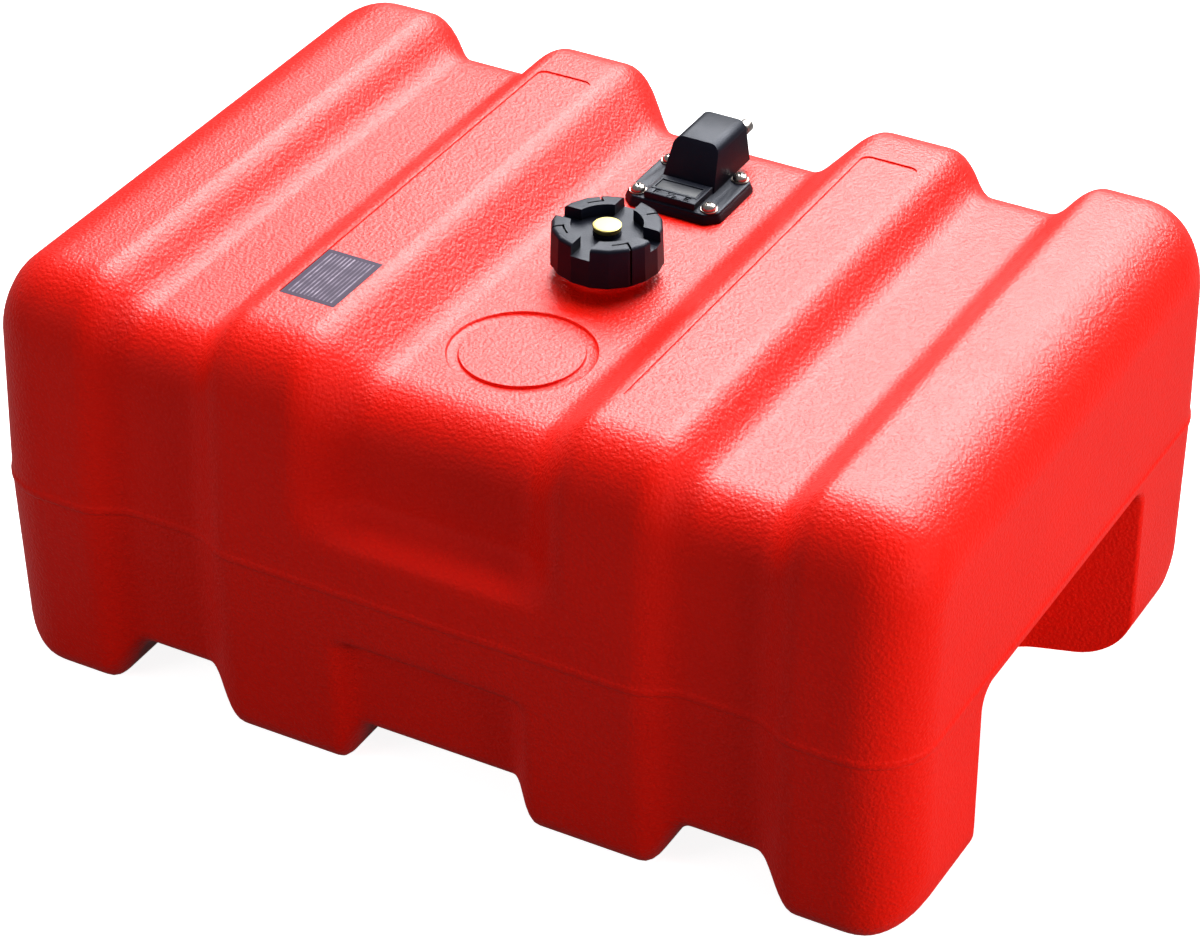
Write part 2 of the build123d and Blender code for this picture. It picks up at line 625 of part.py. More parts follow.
def make_screw(x, y):
    """Pan-head screw with a cross recess."""
    head = Pos(x, y, 268.5 + 1.7) * Cylinder(4.7, 3.4)
    head = head.fillet(2.4, [e for e in head.edges() if e.center().Z > 271.5])
    cross = box(x - 2.4, x + 2.4, y - 0.55, y + 0.55, 270.3, 275)
    cross = cross + box(x - 0.55, x + 0.55, y - 2.4, y + 2.4, 270.3, 275)
    return (head - cross) + cylinder(x, y, 253, 268.6, 2.45)


def make_washer(x, y):
    """Flat washer under a screw head."""
    return cylinder(x, y, FLANGE_TOP_Z, 268.5, 5.4) - cylinder(x, y, 260, 270, 2.6)


def make_insert(x, y):
    """Threaded brass insert moulded into the shell."""
    return cylinder(x, y, 250.5, MID_CHANNEL_Z - 0.2, 4.0) - cylinder(x, y, 240, 270, 2.5)


def main():
    """Write one STEP file per piece."""
    os.makedirs("parts", exist_ok=True)
    pieces = {
        "tank_shell": make_tank_shell(),
        "rating_label": make_rating_label(),
        "cap_body": make_cap_body(),
        "cap_gasket": make_cap_gasket(),
        "vent_screw": make_vent_screw(),
        "vent_seal": make_vent_seal(),
        "gauge_gasket": make_gauge_gasket(),
        "gauge_flange": make_gauge_flange(),
        "gauge_lens": make_gauge_lens(),
        "gauge_dial": make_gauge_dial(),
        "gauge_pointer": make_gauge_pointer(),
        "connector_hood": make_connector_hood(),
        "hose_connector": make_hose_connector(),
        "connector_ring": make_connector_ring(),
        "pickup_tube": make_pickup_tube(),
        "pickup_strainer": make_pickup_strainer(),
        "sender_leg": make_sender_leg(),
        "pivot_pin": make_pivot_pin(),
        "float_arm": make_float_arm(),
        "float_body": make_float_body(),
    }
    for number, (x, y) in enumerate(screw_places(), start=1):
        pieces[f"gauge_screw_{number}"] = make_screw(x, y)
        pieces[f"gauge_washer_{number}"] = make_washer(x, y)
        pieces[f"gauge_insert_{number}"] = make_insert(x, y)
    for name, piece in pieces.items():
        export_step(Pos(0, 0, -FOOT_Z) * piece, f"parts/{name}.step")


if __name__ == "__main__":
    main()
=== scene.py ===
"""Looks for an outboard fuel tank: grained red shell, black vented cap, gauge and hose connector.

Lengths are metres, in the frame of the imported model: +X along the tank, -Y the front long
side, +Z up, the ground at zero. Each operator makes one piece or one group of like pieces.
"""
import math

import bmesh
import bpy
import numpy as np
from bpy.props import FloatProperty, FloatVectorProperty, IntProperty, PointerProperty
from mathutils import Matrix, Vector


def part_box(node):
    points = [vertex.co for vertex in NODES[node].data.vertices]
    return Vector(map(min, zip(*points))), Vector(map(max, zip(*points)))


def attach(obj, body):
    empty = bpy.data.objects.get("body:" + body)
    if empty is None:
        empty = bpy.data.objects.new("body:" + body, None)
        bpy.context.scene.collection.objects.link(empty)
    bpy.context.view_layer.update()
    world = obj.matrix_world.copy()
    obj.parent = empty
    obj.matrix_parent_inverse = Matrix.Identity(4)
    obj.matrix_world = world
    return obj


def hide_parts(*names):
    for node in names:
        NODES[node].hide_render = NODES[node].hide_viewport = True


bl_info = {
    "name": "Outboard Fuel Tank",
    "version": (1, 0, 0),
    "blender": (4, 5, 0),
    "location": "View3D > Sidebar > Fuel Tank",
    "description": "Dresses a portable fuel tank with its shell, cap, gauge and hose connector",
    "category": "Object",
}

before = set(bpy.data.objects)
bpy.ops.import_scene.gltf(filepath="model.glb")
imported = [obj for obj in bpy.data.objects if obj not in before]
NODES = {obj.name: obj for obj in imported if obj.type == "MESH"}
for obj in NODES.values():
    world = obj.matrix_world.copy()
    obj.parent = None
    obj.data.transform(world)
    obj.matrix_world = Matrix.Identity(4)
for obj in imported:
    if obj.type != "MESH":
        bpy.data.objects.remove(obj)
MM = 0.001

PLATE_LOW, PLATE_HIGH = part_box("gauge_flange")
LABEL_LOW, LABEL_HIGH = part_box("rating_label")
RULE_SPACING = 0.0027
RULE_SHARE = 0.19
LABEL_MARGIN = 0.0035
SCREW_SEAT = 0.2715
WASHER_SEAT = 0.2705
FINE_ROUND = 0.0003
MERGE_GAP = 0.00002


# ------------------------ settings
class ShellSettings(bpy.types.PropertyGroup):
    """Moulded red polyethylene of the tank."""
    colour: FloatVectorProperty(
        name="Red", description="Colour of the moulded shell",
        subtype="COLOR", size=4, min=0, max=1, default=(0.82, 0.007, 0.0015, 1.0))
    grain_size: FloatProperty(
        name="Grain size", description="Width of one pebble of the moulded grain",
        subtype="DISTANCE", unit="LENGTH", default=0.0016)
    grain_depth: FloatProperty(
        name="Grain depth", description="Height of the pebbles",
        subtype="DISTANCE", unit="LENGTH", default=0.00045)
    gloss_loss: FloatProperty(
        name="Roughness", description="Roughness of the plastic between scuffs",
        subtype="FACTOR", min=0, max=1, default=0.43)


class FittingSettings(bpy.types.PropertyGroup):
    """Black mouldings, plated metal and brass."""
    black: FloatVectorProperty(
        name="Black", description="Colour of the cap, gauge plate and hood",
        subtype="COLOR", size=4, min=0, max=1, default=(0.004, 0.005, 0.010, 1.0))
    brass: FloatVectorProperty(
        name="Brass", description="Colour of the vent screw",
        subtype="COLOR", size=4, min=0, max=1, default=(0.42, 0.36, 0.12, 1.0))
    plating: FloatVectorProperty(
        name="Plating", description="Colour of the screws and the hose pins",
        subtype="COLOR", size=4, min=0, max=1, default=(0.44, 0.41, 0.39, 1.0))
    cap_radius: FloatProperty(
        name="Cap radius", description="Radius of the filler cap over its facets",
        subtype="DISTANCE", unit="LENGTH", default=0.0358)
    grip_gap: FloatProperty(
        name="Grip gap", description="Width of the gaps between the cap's grips",
        subtype="DISTANCE", unit="LENGTH", default=0.013)
    edge_round: FloatProperty(
        name="Edge rounding", description="Radius on the edges of the black mouldings",
        subtype="DISTANCE", unit="LENGTH", default=0.00035)
    screw_spread_x: FloatProperty(
        name="Screw spacing along",
        description="Half the distance between gauge screws along the tank",
        subtype="DISTANCE", unit="LENGTH", default=0.0255)
    screw_spread_y: FloatProperty(
        name="Screw spacing across",
        description="Half the distance between gauge screws across the tank",
        subtype="DISTANCE", unit="LENGTH", default=0.0215)
    screw_seed: IntProperty(
        name="Screw turn seed", description="Seed for how far each screw is turned", default=4)


class StageSettings(bpy.types.PropertyGroup):
    """Floor, lights and camera."""
    lens: FloatProperty(
        name="Lens", description="Focal length on a 36 mm wide sensor, in millimetres", default=120.85)
    camera_place: FloatVectorProperty(
        name="Camera place", description="Where the camera stands",
        subtype="TRANSLATION", unit="LENGTH", size=3, default=(1.03033, -1.87785, 1.55654))
    camera_tilt: FloatProperty(
        name="Camera tilt", description="Angle of the camera from looking straight down",
        subtype="ANGLE", default=math.radians(56.05))
    camera_turn: FloatProperty(
        name="Camera turn", description="Turn of the camera about the upright axis",
        subtype="ANGLE", default=math.radians(28.87))
    key_power: FloatProperty(
        name="Key light", description="Power of the side light in watts", default=54)
    sheen_power: FloatProperty(
        name="Sheen light", description="Power of the high rear light in watts", default=300)
    crown_power: FloatProperty(
        name="Crown light", description="Power of the light overhead in watts", default=84)
    fill_power: FloatProperty(
        name="Fill light", description="Power of the weak front left light in watts", default=19)
    sky: FloatProperty(
        name="Sky", description="Strength of the even surrounding light", default=0.15)
    mirrored: FloatProperty(
        name="Mirrored background",
        description="Share of the white background that gloss and metal show",
        subtype="FACTOR", min=0, max=1, default=0.10)


# ------------------------ node helpers
def fill(tree, node, values):
    """Set or link a node's inputs."""
    for key, value in values.items():
        socket = node.inputs[key]
        if isinstance(value, bpy.types.NodeSocket):
            tree.links.new(value, socket)
        else:
            socket.default_value = value
    return node


def add_node(tree, kind, values=None, **settings):
    """Add a node, set its options, and fill or link its inputs."""
    node = tree.nodes.new(kind)
    for key, value in settings.items():
        setattr(node, key, value)
    return fill(tree, node, values or {})


def spoken(values):
    """The same values under the names that sockets show: patch_size becomes Patch size."""
    return {key.replace("_", " ").capitalize(): value for key, value in values.items()}


def maths(tree, operation, *values, clamp=False):
    """Math node's result from one to three values."""
    return add_node(tree, "ShaderNodeMath", dict(enumerate(values)),
                    operation=operation, use_clamp=clamp).outputs[0]


def vector_maths(tree, operation, first, second):
    """Vector Math node's result."""
    other = "Scale" if operation == "SCALE" else 1
    return add_node(tree, "ShaderNodeVectorMath", {0: first, other: second},
                    operation=operation).outputs[0]


def noise(tree, place, scale, detail, output="Fac", **others):
    """Noise texture at a place; its other inputs go by their sockets' names."""
    inputs = {"Vector": place, "Scale": scale, "Detail": detail, **spoken(others)}
    return add_node(tree, "ShaderNodeTexNoise", inputs).outputs[output]


def ramp(tree, value, low, high, low_out=0.0, high_out=1.0):
    """Clamped straight-line map of a value."""
    return add_node(tree, "ShaderNodeMapRange", {
        "Value": value, "From Min": low, "From Max": high,
        "To Min": low_out, "To Max": high_out}).outputs["Result"]


def mix_colour(tree, factor, first, second):
    """Blend of two colours."""
    return add_node(tree, "ShaderNodeMix", {"Factor": factor, "A": first, "B": second},
                    data_type="RGBA").outputs[2]


def shader_group(name, result, **numbers):
    """New shader node group that takes a position and named numbers, and gives one number."""
    group = bpy.data.node_groups.new(name, "ShaderNodeTree")
    group.interface.new_socket(name="Position", in_out="INPUT", socket_type="NodeSocketVector")
    for label, value in spoken(numbers).items():
        socket = group.interface.new_socket(name=label, in_out="INPUT", socket_type="NodeSocketFloat")
        socket.default_value = value
    group.interface.new_socket(name=result, in_out="OUTPUT", socket_type="NodeSocketFloat")
    given = group.nodes.new("NodeGroupInput").outputs
    return group, given, group.nodes.new("NodeGroupOutput").inputs[0]


def made_once(make):
    """Finish or node group that the first call makes, and later calls find by the function's name."""
    def find():
        kept = bpy.data.materials.get(make.__name__) or bpy.data.node_groups.get(make.__name__)
        return kept or make()
    return find


@made_once
def pebble_grain():
    """Group: height of rounded pebbles with uneven joints, as left by an etched mould."""
    group, given, out = shader_group("pebble_grain", "Height", size=0.002)
    scale = maths(group, "DIVIDE", 1.0, given["Size"])
    bend = noise(group, given["Position"], scale, 1.0, "Color")
    shift = vector_maths(group, "SUBTRACT", bend, (0.5, 0.5, 0.5))
    moved = vector_maths(group, "SCALE", shift, maths(group, "MULTIPLY", given["Size"], 0.9))
    place = vector_maths(group, "ADD", given["Position"], moved)
    cells = add_node(group, "ShaderNodeTexVoronoi", {
        "Vector": place, "Scale": maths(group, "MULTIPLY", scale, 0.72), "Smoothness": 0.55},
        feature="SMOOTH_F1")
    domes = ramp(group, cells.outputs["Distance"], 0.05, 0.75, 1.0, 0.0)
    fine = noise(group, given["Position"], maths(group, "MULTIPLY", scale, 1.7), 2.0)
    total = maths(group, "MULTIPLY_ADD", domes, 0.65, maths(group, "MULTIPLY", fine, 0.5))
    group.links.new(total, out)
    return group


@made_once
def handling_wear():
    """Group: mask of rubbed patches broken up by fine scratches."""
    group, given, out = shader_group("handling_wear", "Mask", patch_size=0.06, amount=0.5)
    scale = maths(group, "DIVIDE", 1.0, given["Patch size"])
    patches = noise(group, given["Position"], scale, 3.0, roughness=0.6)
    stretched = vector_maths(group, "MULTIPLY", given["Position"], (1.0, 9.0, 5.0))
    lines = noise(group, stretched, maths(group, "MULTIPLY", scale, 4.0), 4.0,
                  roughness=0.7, distortion=0.4)
    broad = ramp(group, patches, 0.48, 0.72)
    thin = ramp(group, lines, 0.55, 0.75, 0.25, 1.0)
    rubbed = maths(group, "MULTIPLY", broad, thin)
    group.links.new(maths(group, "MULTIPLY", rubbed, given["Amount"], clamp=True), out)
    return group


@made_once
def settled_dust():
    """Group: mask of light dust on faces that look up."""
    group, given, out = shader_group("settled_dust", "Mask", amount=0.3)
    normal = add_node(group, "ShaderNodeNewGeometry").outputs["Normal"]
    height = add_node(group, "ShaderNodeSeparateXYZ", {0: normal}).outputs["Z"]
    flat = ramp(group, height, 0.55, 1.0)
    cover = ramp(group, noise(group, given["Position"], 900.0, 3.0, roughness=0.8), 0.42, 0.72)
    total = maths(group, "MULTIPLY", flat, cover)
    group.links.new(maths(group, "MULTIPLY", total, given["Amount"], clamp=True), out)
    return group


def use_group(tree, group, place, **values):
    """Result of a shader group placed in a material; its numbers go by their sockets' names."""
    node = tree.nodes.new("ShaderNodeGroup")
    node.node_tree = group
    return fill(tree, node, {"Position": place, **spoken(values)}).outputs[0]


def new_material(name):
    """Empty material with its tree, shader and object coordinates."""
    material = bpy.data.materials.new(name)
    material.use_nodes = True
    tree = material.node_tree
    shader = tree.nodes["Principled BSDF"]
    place = add_node(tree, "ShaderNodeTexCoord").outputs["Object"]
    return material, tree, shader, place


def finish(tree, shader, colour, rough, height, depth, others):
    """Link a shader's colour and roughness, give it a relief in metres and set its other inputs."""
    relief = add_node(tree, "ShaderNodeBump", {"Height": height, "Distance": depth, "Strength": 1.0})
    fill(tree, shader, {
        "Base Color": colour, "Roughness": rough, "Normal": relief.outputs[0], **others})


# ------------------------ finishes
@made_once
def grained_red():
    """Pebble-grained red polyethylene."""
    look = bpy.context.scene.tank_shell_look
    material, tree, shader, place = new_material("grained_red")
    grain = use_group(tree, pebble_grain(), place, size=look.grain_size)
    wear = use_group(tree, handling_wear(), place, patch_size=0.11, amount=0.5)
    cloud = noise(tree, place, 9.0, 4.0)
    base = tuple(look.colour)
    deep = (base[0] * 0.92, base[1] * 0.8, base[2] * 0.8, 1.0)
    pale = (min(1.0, base[0] * 1.04), base[1] * 1.5, base[2] * 1.5, 1.0)
    colour = mix_colour(tree, ramp(tree, cloud, 0.3, 0.7), deep, base)
    hollow = ramp(tree, grain, 0.30, 0.75)
    colour = mix_colour(tree, maths(tree, "MULTIPLY", hollow, 0.5), colour, pale)
    rough = maths(tree, "MULTIPLY_ADD", wear, 0.16, look.gloss_loss)
    finish(tree, shader, colour, rough, grain, look.grain_depth,
           {"IOR": 1.5, "Specular IOR Level": 0.24})
    return material


@made_once
def matt_black():
    """Fine matt black nylon with lighter rubbed spots."""
    material, tree, shader, place = new_material("matt_black")
    grain = use_group(tree, pebble_grain(), place, size=0.00055)
    wear = use_group(tree, handling_wear(), place, patch_size=0.012, amount=0.6)
    dust = use_group(tree, settled_dust(), place, amount=0.25)
    base = tuple(bpy.context.scene.tank_fitting_look.black)
    colour = mix_colour(tree, maths(tree, "MULTIPLY", wear, 0.35), base, (0.022, 0.023, 0.028, 1.0))
    colour = mix_colour(tree, maths(tree, "MULTIPLY", dust, 0.4), colour, (0.05, 0.05, 0.05, 1.0))
    rough = maths(tree, "MULTIPLY_ADD", wear, -0.14, 0.46)
    finish(tree, shader, colour, rough, grain, 0.00005,
           {"Specular IOR Level": 0.13, "Specular Tint": (0.76, 0.83, 1.0, 1.0)})
    return material


def plain_finish(name, colour, rough, metal, grain_size, grain_depth, patch, second=None):
    """Material with broken colour, uneven gloss and a fine relief."""
    if name in bpy.data.materials:
        return bpy.data.materials[name]
    material, tree, shader, place = new_material(name)
    wear = use_group(tree, handling_wear(), place, patch_size=patch, amount=0.8)
    grain = use_group(tree, pebble_grain(), place, size=grain_size)
    darker = second or tuple(c * 0.72 for c in colour[:3]) + (1.0,)
    mixed = mix_colour(tree, wear, tuple(colour), darker)
    uneven = maths(tree, "MULTIPLY_ADD", wear, 0.18, rough)
    finish(tree, shader, mixed, uneven, grain, grain_depth, {"Metallic": metal})
    return material


def bright_plating():
    """Plating of the gauge screws and the hose pins."""
    colour = tuple(bpy.context.scene.tank_fitting_look.plating)
    return plain_finish("bright_plating", colour, 0.27, 1.0, 0.0012, 0.00001, 0.01)


@made_once
def turned_brass():
    """Brass with fine concentric tool marks about the vent's axis."""
    material, tree, shader, place = new_material("turned_brass")
    rings = add_node(tree, "ShaderNodeTexWave", {
        "Vector": place, "Scale": 420.0, "Distortion": 0.6, "Detail": 1.0, "Detail Scale": 2.0},
        wave_type="RINGS", rings_direction="Z")
    wear = use_group(tree, handling_wear(), place, patch_size=0.008, amount=0.8)
    clean = tuple(bpy.context.scene.tank_fitting_look.brass)
    mixed = mix_colour(tree, wear, clean, (0.45, 0.33, 0.13, 1.0))
    uneven = maths(tree, "MULTIPLY_ADD", wear, 0.15, 0.56)
    finish(tree, shader, mixed, uneven, rings.outputs["Fac"], 0.00003, {"Metallic": 1.0})
    return material


@made_once
def ruled_label():
    """Dark foil with pale hairlines across it and a plain margin; no lettering."""
    material, tree, shader, place = new_material("ruled_label")
    centre = (LABEL_LOW + LABEL_HIGH) / 2
    half = (LABEL_HIGH - LABEL_LOW) / 2
    local = add_node(tree, "ShaderNodeMapping", {"Vector": place, "Location": tuple(-centre)})
    axes = add_node(tree, "ShaderNodeSeparateXYZ", {0: local.outputs[0]})
    across, along = axes.outputs["X"], axes.outputs["Y"]
    rows = maths(tree, "DIVIDE", maths(tree, "ADD", across, 0.1), RULE_SPACING)
    off_middle = maths(tree, "ABSOLUTE", maths(tree, "SUBTRACT", maths(tree, "FRACT", rows), 0.5))
    line = maths(tree, "LESS_THAN", off_middle, RULE_SHARE)
    weight = add_node(tree, "ShaderNodeTexWhiteNoise", {"W": maths(tree, "FLOOR", rows)},
                      noise_dimensions="1D").outputs["Value"]
    line = maths(tree, "MULTIPLY", line, ramp(tree, weight, 0.0, 1.0, 0.25, 1.0))
    field = maths(tree, "MULTIPLY", *(
        maths(tree, "LESS_THAN", maths(tree, "ABSOLUTE", axis), reach - LABEL_MARGIN)
        for axis, reach in ((across, half.x), (along, half.y))))
    fading = noise(tree, place, 130.0, 2.0)
    faded = ramp(tree, fading, 0.35, 0.6, 0.35, 1.0)
    ink = maths(tree, "MULTIPLY", maths(tree, "MULTIPLY", line, field), faded)
    foil = mix_colour(tree, fading, (0.048, 0.034, 0.062, 1.0), (0.075, 0.056, 0.090, 1.0))
    colour = mix_colour(tree, ink, foil, (0.42, 0.35, 0.44, 1.0))
    rough = ramp(tree, fading, 0.3, 0.7, 0.46, 0.56)
    finish(tree, shader, colour, rough, ink, 0.00002, {"Specular IOR Level": 0.05})
    return material


@made_once
def clear_cover():
    """Smoked window, faintly scratched."""
    material, tree, shader, place = new_material("clear_cover")
    wear = use_group(tree, handling_wear(), place, patch_size=0.006, amount=0.7)
    rough = maths(tree, "MULTIPLY_ADD", wear, 0.2, 0.5)
    finish(tree, shader, (0.022, 0.026, 0.036, 1.0), rough, wear, 0.00001,
           {"Transmission Weight": 0.35, "Specular IOR Level": 0.08, "IOR": 1.49})
    return material


# ------------------------ mesh helpers
def paint(material, *node_names):
    """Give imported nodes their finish."""
    for name in node_names:
        mesh = NODES[name].data
        if not mesh.materials:
            mesh.materials.append(material)
        for index in range(len(mesh.materials)):
            mesh.materials[index] = material


def new_object(name, mesh, material, smooth=True):
    """Object at the origin with one material."""
    mesh.materials.clear()
    mesh.materials.append(material)
    for face in mesh.polygons:
        face.use_smooth = smooth
        face.material_index = 0
    piece = bpy.data.objects.new(name, mesh)
    bpy.context.scene.collection.objects.link(piece)
    return piece


def evaluated_mesh(piece, name):
    """Mesh of a piece with its modifiers applied."""
    bpy.context.view_layer.update()
    graph = bpy.context.evaluated_depsgraph_get()
    mesh = bpy.data.meshes.new_from_object(piece.evaluated_get(graph))
    mesh.name = name
    return mesh


def merged(mesh):
    """Working copy of a mesh with its loose triangles joined at their corners."""
    work = bmesh.new()
    work.from_mesh(mesh)
    bmesh.ops.remove_doubles(work, verts=work.verts, dist=MERGE_GAP)
    return work


def rounded_piece(mesh, name, material, radius, body, node_name, shading=32):
    """Piece with its sharp edges rounded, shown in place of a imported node."""
    work = merged(mesh)
    bmesh.ops.dissolve_limit(work, angle_limit=math.radians(1.0), verts=work.verts, edges=work.edges)
    work.to_mesh(mesh)
    work.free()
    for layer in list(mesh.uv_layers):
        mesh.uv_layers.remove(layer)
    piece = new_object(name, mesh, material)
    bevel = piece.modifiers.new("rounding", "BEVEL")
    bevel.width = radius
    bevel.segments = 2
    bevel.limit_method = "ANGLE"
    bevel.angle_limit = math.radians(28)
    bevel.harden_normals = False
    final = evaluated_mesh(piece, name)
    bpy.data.objects.remove(piece)
    dress(new_object(name, final, material), body, (node_name,), shading)


def rounded_copy(node_name, name, material, radius, body):
    """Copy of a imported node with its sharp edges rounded, shown in its place."""
    rounded_piece(NODES[node_name].data.copy(), name, material, radius, body, node_name)


def dress(piece, body, nodes, shading):
    """Shade a piece by angle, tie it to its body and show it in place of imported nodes."""
    piece.data.set_sharp_from_angle(angle=math.radians(shading))
    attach(piece, body)
    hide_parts(*nodes)


# ------------------------ solids drawn in millimetres
def solid_object(name, work):
    """Scratch object from a bmesh, with its faces pointing outwards."""
    bmesh.ops.recalc_face_normals(work, faces=work.faces)
    mesh = bpy.data.meshes.new(name)
    work.to_mesh(mesh)
    work.free()
    piece = bpy.data.objects.new(name, mesh)
    bpy.context.scene.collection.objects.link(piece)
    return piece


def drawn(name, *forms):
    """Scratch solid drawn by calls such as (block, low, high)."""
    work = bmesh.new()
    for form, *values in forms:
        form(work, *values)
    return solid_object(name, work)


def combine(piece, other, operation):
    """Boolean of two solids; the second one is used up."""
    modifier = piece.modifiers.new(operation, "BOOLEAN")
    modifier.operation = operation
    modifier.object = other
    modifier.solver = "MANIFOLD"
    mesh = evaluated_mesh(piece, piece.name)
    piece.modifiers.clear()
    piece.data = mesh
    bpy.data.objects.remove(other)
    return piece


def cut(piece, name, *forms):
    """Piece with a drawn solid cut away."""
    return combine(piece, drawn(name, *forms), "DIFFERENCE")


def in_metres(piece):
    """Mesh of a scratch object built in millimetres, scaled; the object is used up."""
    mesh = piece.data
    mesh.transform(Matrix.Scale(MM, 4))
    bpy.data.objects.remove(piece)
    return mesh


def ring_faces(work, loops, closed=False):
    """Faces between matching rings of points; if closed, from the last ring to the first as well."""
    rings = [[work.verts.new(p) for p in loop] for loop in loops]
    for here, after in zip(rings, rings[1:] + (rings[:1] if closed else [])):
        for k in range(len(here)):
            n = (k + 1) % len(here)
            work.faces.new((here[k], here[n], after[n], after[k]))
    return rings


def lofted(work, loops):
    """Closed solid through matching loops of points, with flat ends."""
    rings = ring_faces(work, loops)
    work.faces.new(rings[0])
    work.faces.new(rings[-1])


def stacked(work, layers):
    """Upright solid through outlines of (x, y) points, each at its own height."""
    lofted(work, [[(x, y, z) for x, y in outline] for outline, z in layers])


def upright(work, outline, low, high):
    """Upright solid with one outline of (x, y) points."""
    stacked(work, [(outline, low), (outline, high)])


def circle(centre, radius, steps):
    """Outline of a circle."""
    return [(centre[0] + radius * math.cos(2 * math.pi * k / steps),
             centre[1] + radius * math.sin(2 * math.pi * k / steps)) for k in range(steps)]


def turned(work, profile, centre=(0, 0), steps=72):
    """Solid of revolution about an upright axis from an outline of (radius, height) points."""
    angles = [2 * math.pi * step / steps for step in range(steps)]
    ring_faces(work, [
        [(centre[0] + r * math.cos(a), centre[1] + r * math.sin(a), z) for r, z in profile]
        for a in angles], closed=True)


def round_bar(work, centre, radius, low, high, steps=72):
    """Upright solid cylinder."""
    upright(work, circle(centre, radius, steps), low, high)


def block(work, low, high, turn=0.0, shift=(0, 0)):
    """Box between two corners, turned about the upright axis and then moved."""
    spin = Matrix.Rotation(math.radians(turn), 2)
    corners = ((low[0], low[1]), (high[0], low[1]), (high[0], high[1]), (low[0], high[1]))
    upright(work, [spin @ Vector(corner) + Vector(shift) for corner in corners], low[2], high[2])


def arc_bar(work, radius, width, start, end, low, high):
    """Upright slab bent round the axis between two angles in degrees."""
    angles = np.radians(np.linspace(start, end, 7))
    sides = (radius - width / 2, angles), (radius + width / 2, angles[::-1])
    outline = [(r * math.cos(a), r * math.sin(a)) for r, order in sides for a in order]
    upright(work, outline, low, high)


def spun(name, profile, steps=64):
    """Scratch solid of revolution whose outline starts and ends on the axis."""
    work = bmesh.new()
    turned(work, profile, (0, 0), steps)
    bmesh.ops.remove_doubles(work, verts=work.verts, dist=0.0005)
    bmesh.ops.dissolve_degenerate(work, edges=work.edges, dist=0.0005)
    return solid_object(name, work)


# ------------------------ form of the shell, in millimetres
HALF_LONG = 318.8
HALF_DEEP = 229.3
PARTING = 141.0
WALL = 4.5
UPPER_DRAFT = math.tan(math.radians(2.5))
LOWER_DRAFT = math.tan(math.radians(3.3))
END_ROUND_TOP = 47.0
END_ROUND_SIDE = 42.0
END_ROUND_FOOT = 34.0
# how far the long corners' radii follow the end's rounding
TOP_CORNER_LOSS = 0.45
FOOT_CORNER_GAIN = 0.2

# distance from the middle of the tank, value there
TOP_LINE = ((60, 263.5), (90, 294.5), (147, 294.5), (165, 271.0), (221, 271.0), (240, 294.5))
FOOT_LINE = ((56, 29.0), (67, 0.0), (147, 0.0), (165, 33.0), (221, 33.0), (240, 0.0))
CHANNEL_LINE = ((147, 0.0), (165, 12.0), (221, 12.0), (240, 0.0))
FINGER_LINE = ((60, 23.0), (88, 0.0))
LOW_RECESS_LINE = ((56, 9.0), (67, 0.0))
TOP_CORNER_LINE = ((60, 40.0), (90, 41.0), (147, 41.0), (165, 37.0), (221, 37.0), (240, 41.0))
FOOT_CORNER_LINE = ((56, 14.0), (67, 18.0), (147, 18.0), (165, 14.0), (221, 14.0), (240, 18.0))
# how far the corners of those lines are rounded, either way
TOP_EASE = 7.5
FOOT_EASE = 4.5
SIDE_EASE = 8.0

# heights between which the finger recess deepens, and the lower recess ends
LEDGE = (170.0, 198.0)
LOW_RECESS = (95.0, 105.0)
BEAD_PROUD = 0.9
BEAD_FLAT = 1.3
BEAD_FOOT = 3.3
PARTING_EASE = 6.0

ARCH_TOP = 134.0
ARCH_HALF = 122.0
ARCH_IN_HALF = 96.0
ARCH_IN_X = 236.0
ARCH_IN_ROUND_SIDE = 24
ARCH_IN_ROUND_TOP = 16
ARCH_FLARE = 2.6
ARCH_CORNER = 15.0

DECK = 263.5
NECK_RADIUS = 24.5
NECK_BORE = 21.0
NECK_FOOT = 258.0
NECK_PLAIN = 268.6
NECK_TOP = 282.5
THREAD_RADIUS = 26.0
THREAD_LEVELS = (269.5, 273.5, 277.5)
COLLAR = ((22, 261.5), (29.5, 261.5), (29.5, 263.3), (27.3, 263.7), (26.1, 264.7),
          (25.5, 266.4), (25.2, 268.8), (22, 268.8))
GROOVE_Y = -106.0
# radius, height over the deck
GROOVE = ((39.2, -2.0), (44.6, -2.0), (45.5, -1.5), (46.0, -0.4), (47.0, 0.5),
          (47.0, 4), (38.0, 4), (38.0, 0.4), (38.5, -0.4), (38.7, -1.6))
PANEL_X = 118.0
# half length, half depth, radius of the back corners, radius of the front ones
PANEL = (19.5, 160.0, 6.0, 0.8)
# how far the panel's edge stands out, height
PANEL_EDGE = ((0.0, 293.5), (0.0, 294.4), (0.5, 294.9), (0.5, 297.0))
GAUGE_Y = 109.0
GAUGE_HOLE = 25.0
INSERT_HOLES = [(x, GAUGE_Y + y) for x in (-25.5, 25.5) for y in (-21.5, 21.5)]
THROUGH_TOP = (240, 300)

FLAT_STEPS = 10
FOOT_ARC_STEPS = 8
TOP_ARC_STEPS = 12


def eased(x, line, reach):
    """Value of a straight-line table at x, with its corners rounded over a reach either side."""
    places, values = zip(*line)
    spots = np.abs(x + np.linspace(-reach, reach, 13))
    return float(np.interp(spots, places, values).mean())


def quarter(distance, radius):
    """How far a rounded edge has fallen away, a distance short of its end."""
    into = max(0.0, radius - distance)
    return radius - math.sqrt(max(0.0, radius * radius - into * into))


def smooth(value, low, high):
    """Soft step from 0 at low to 1 at high."""
    t = np.clip((value - low) / (high - low), 0, 1)
    return t * t * (3 - 2 * t)


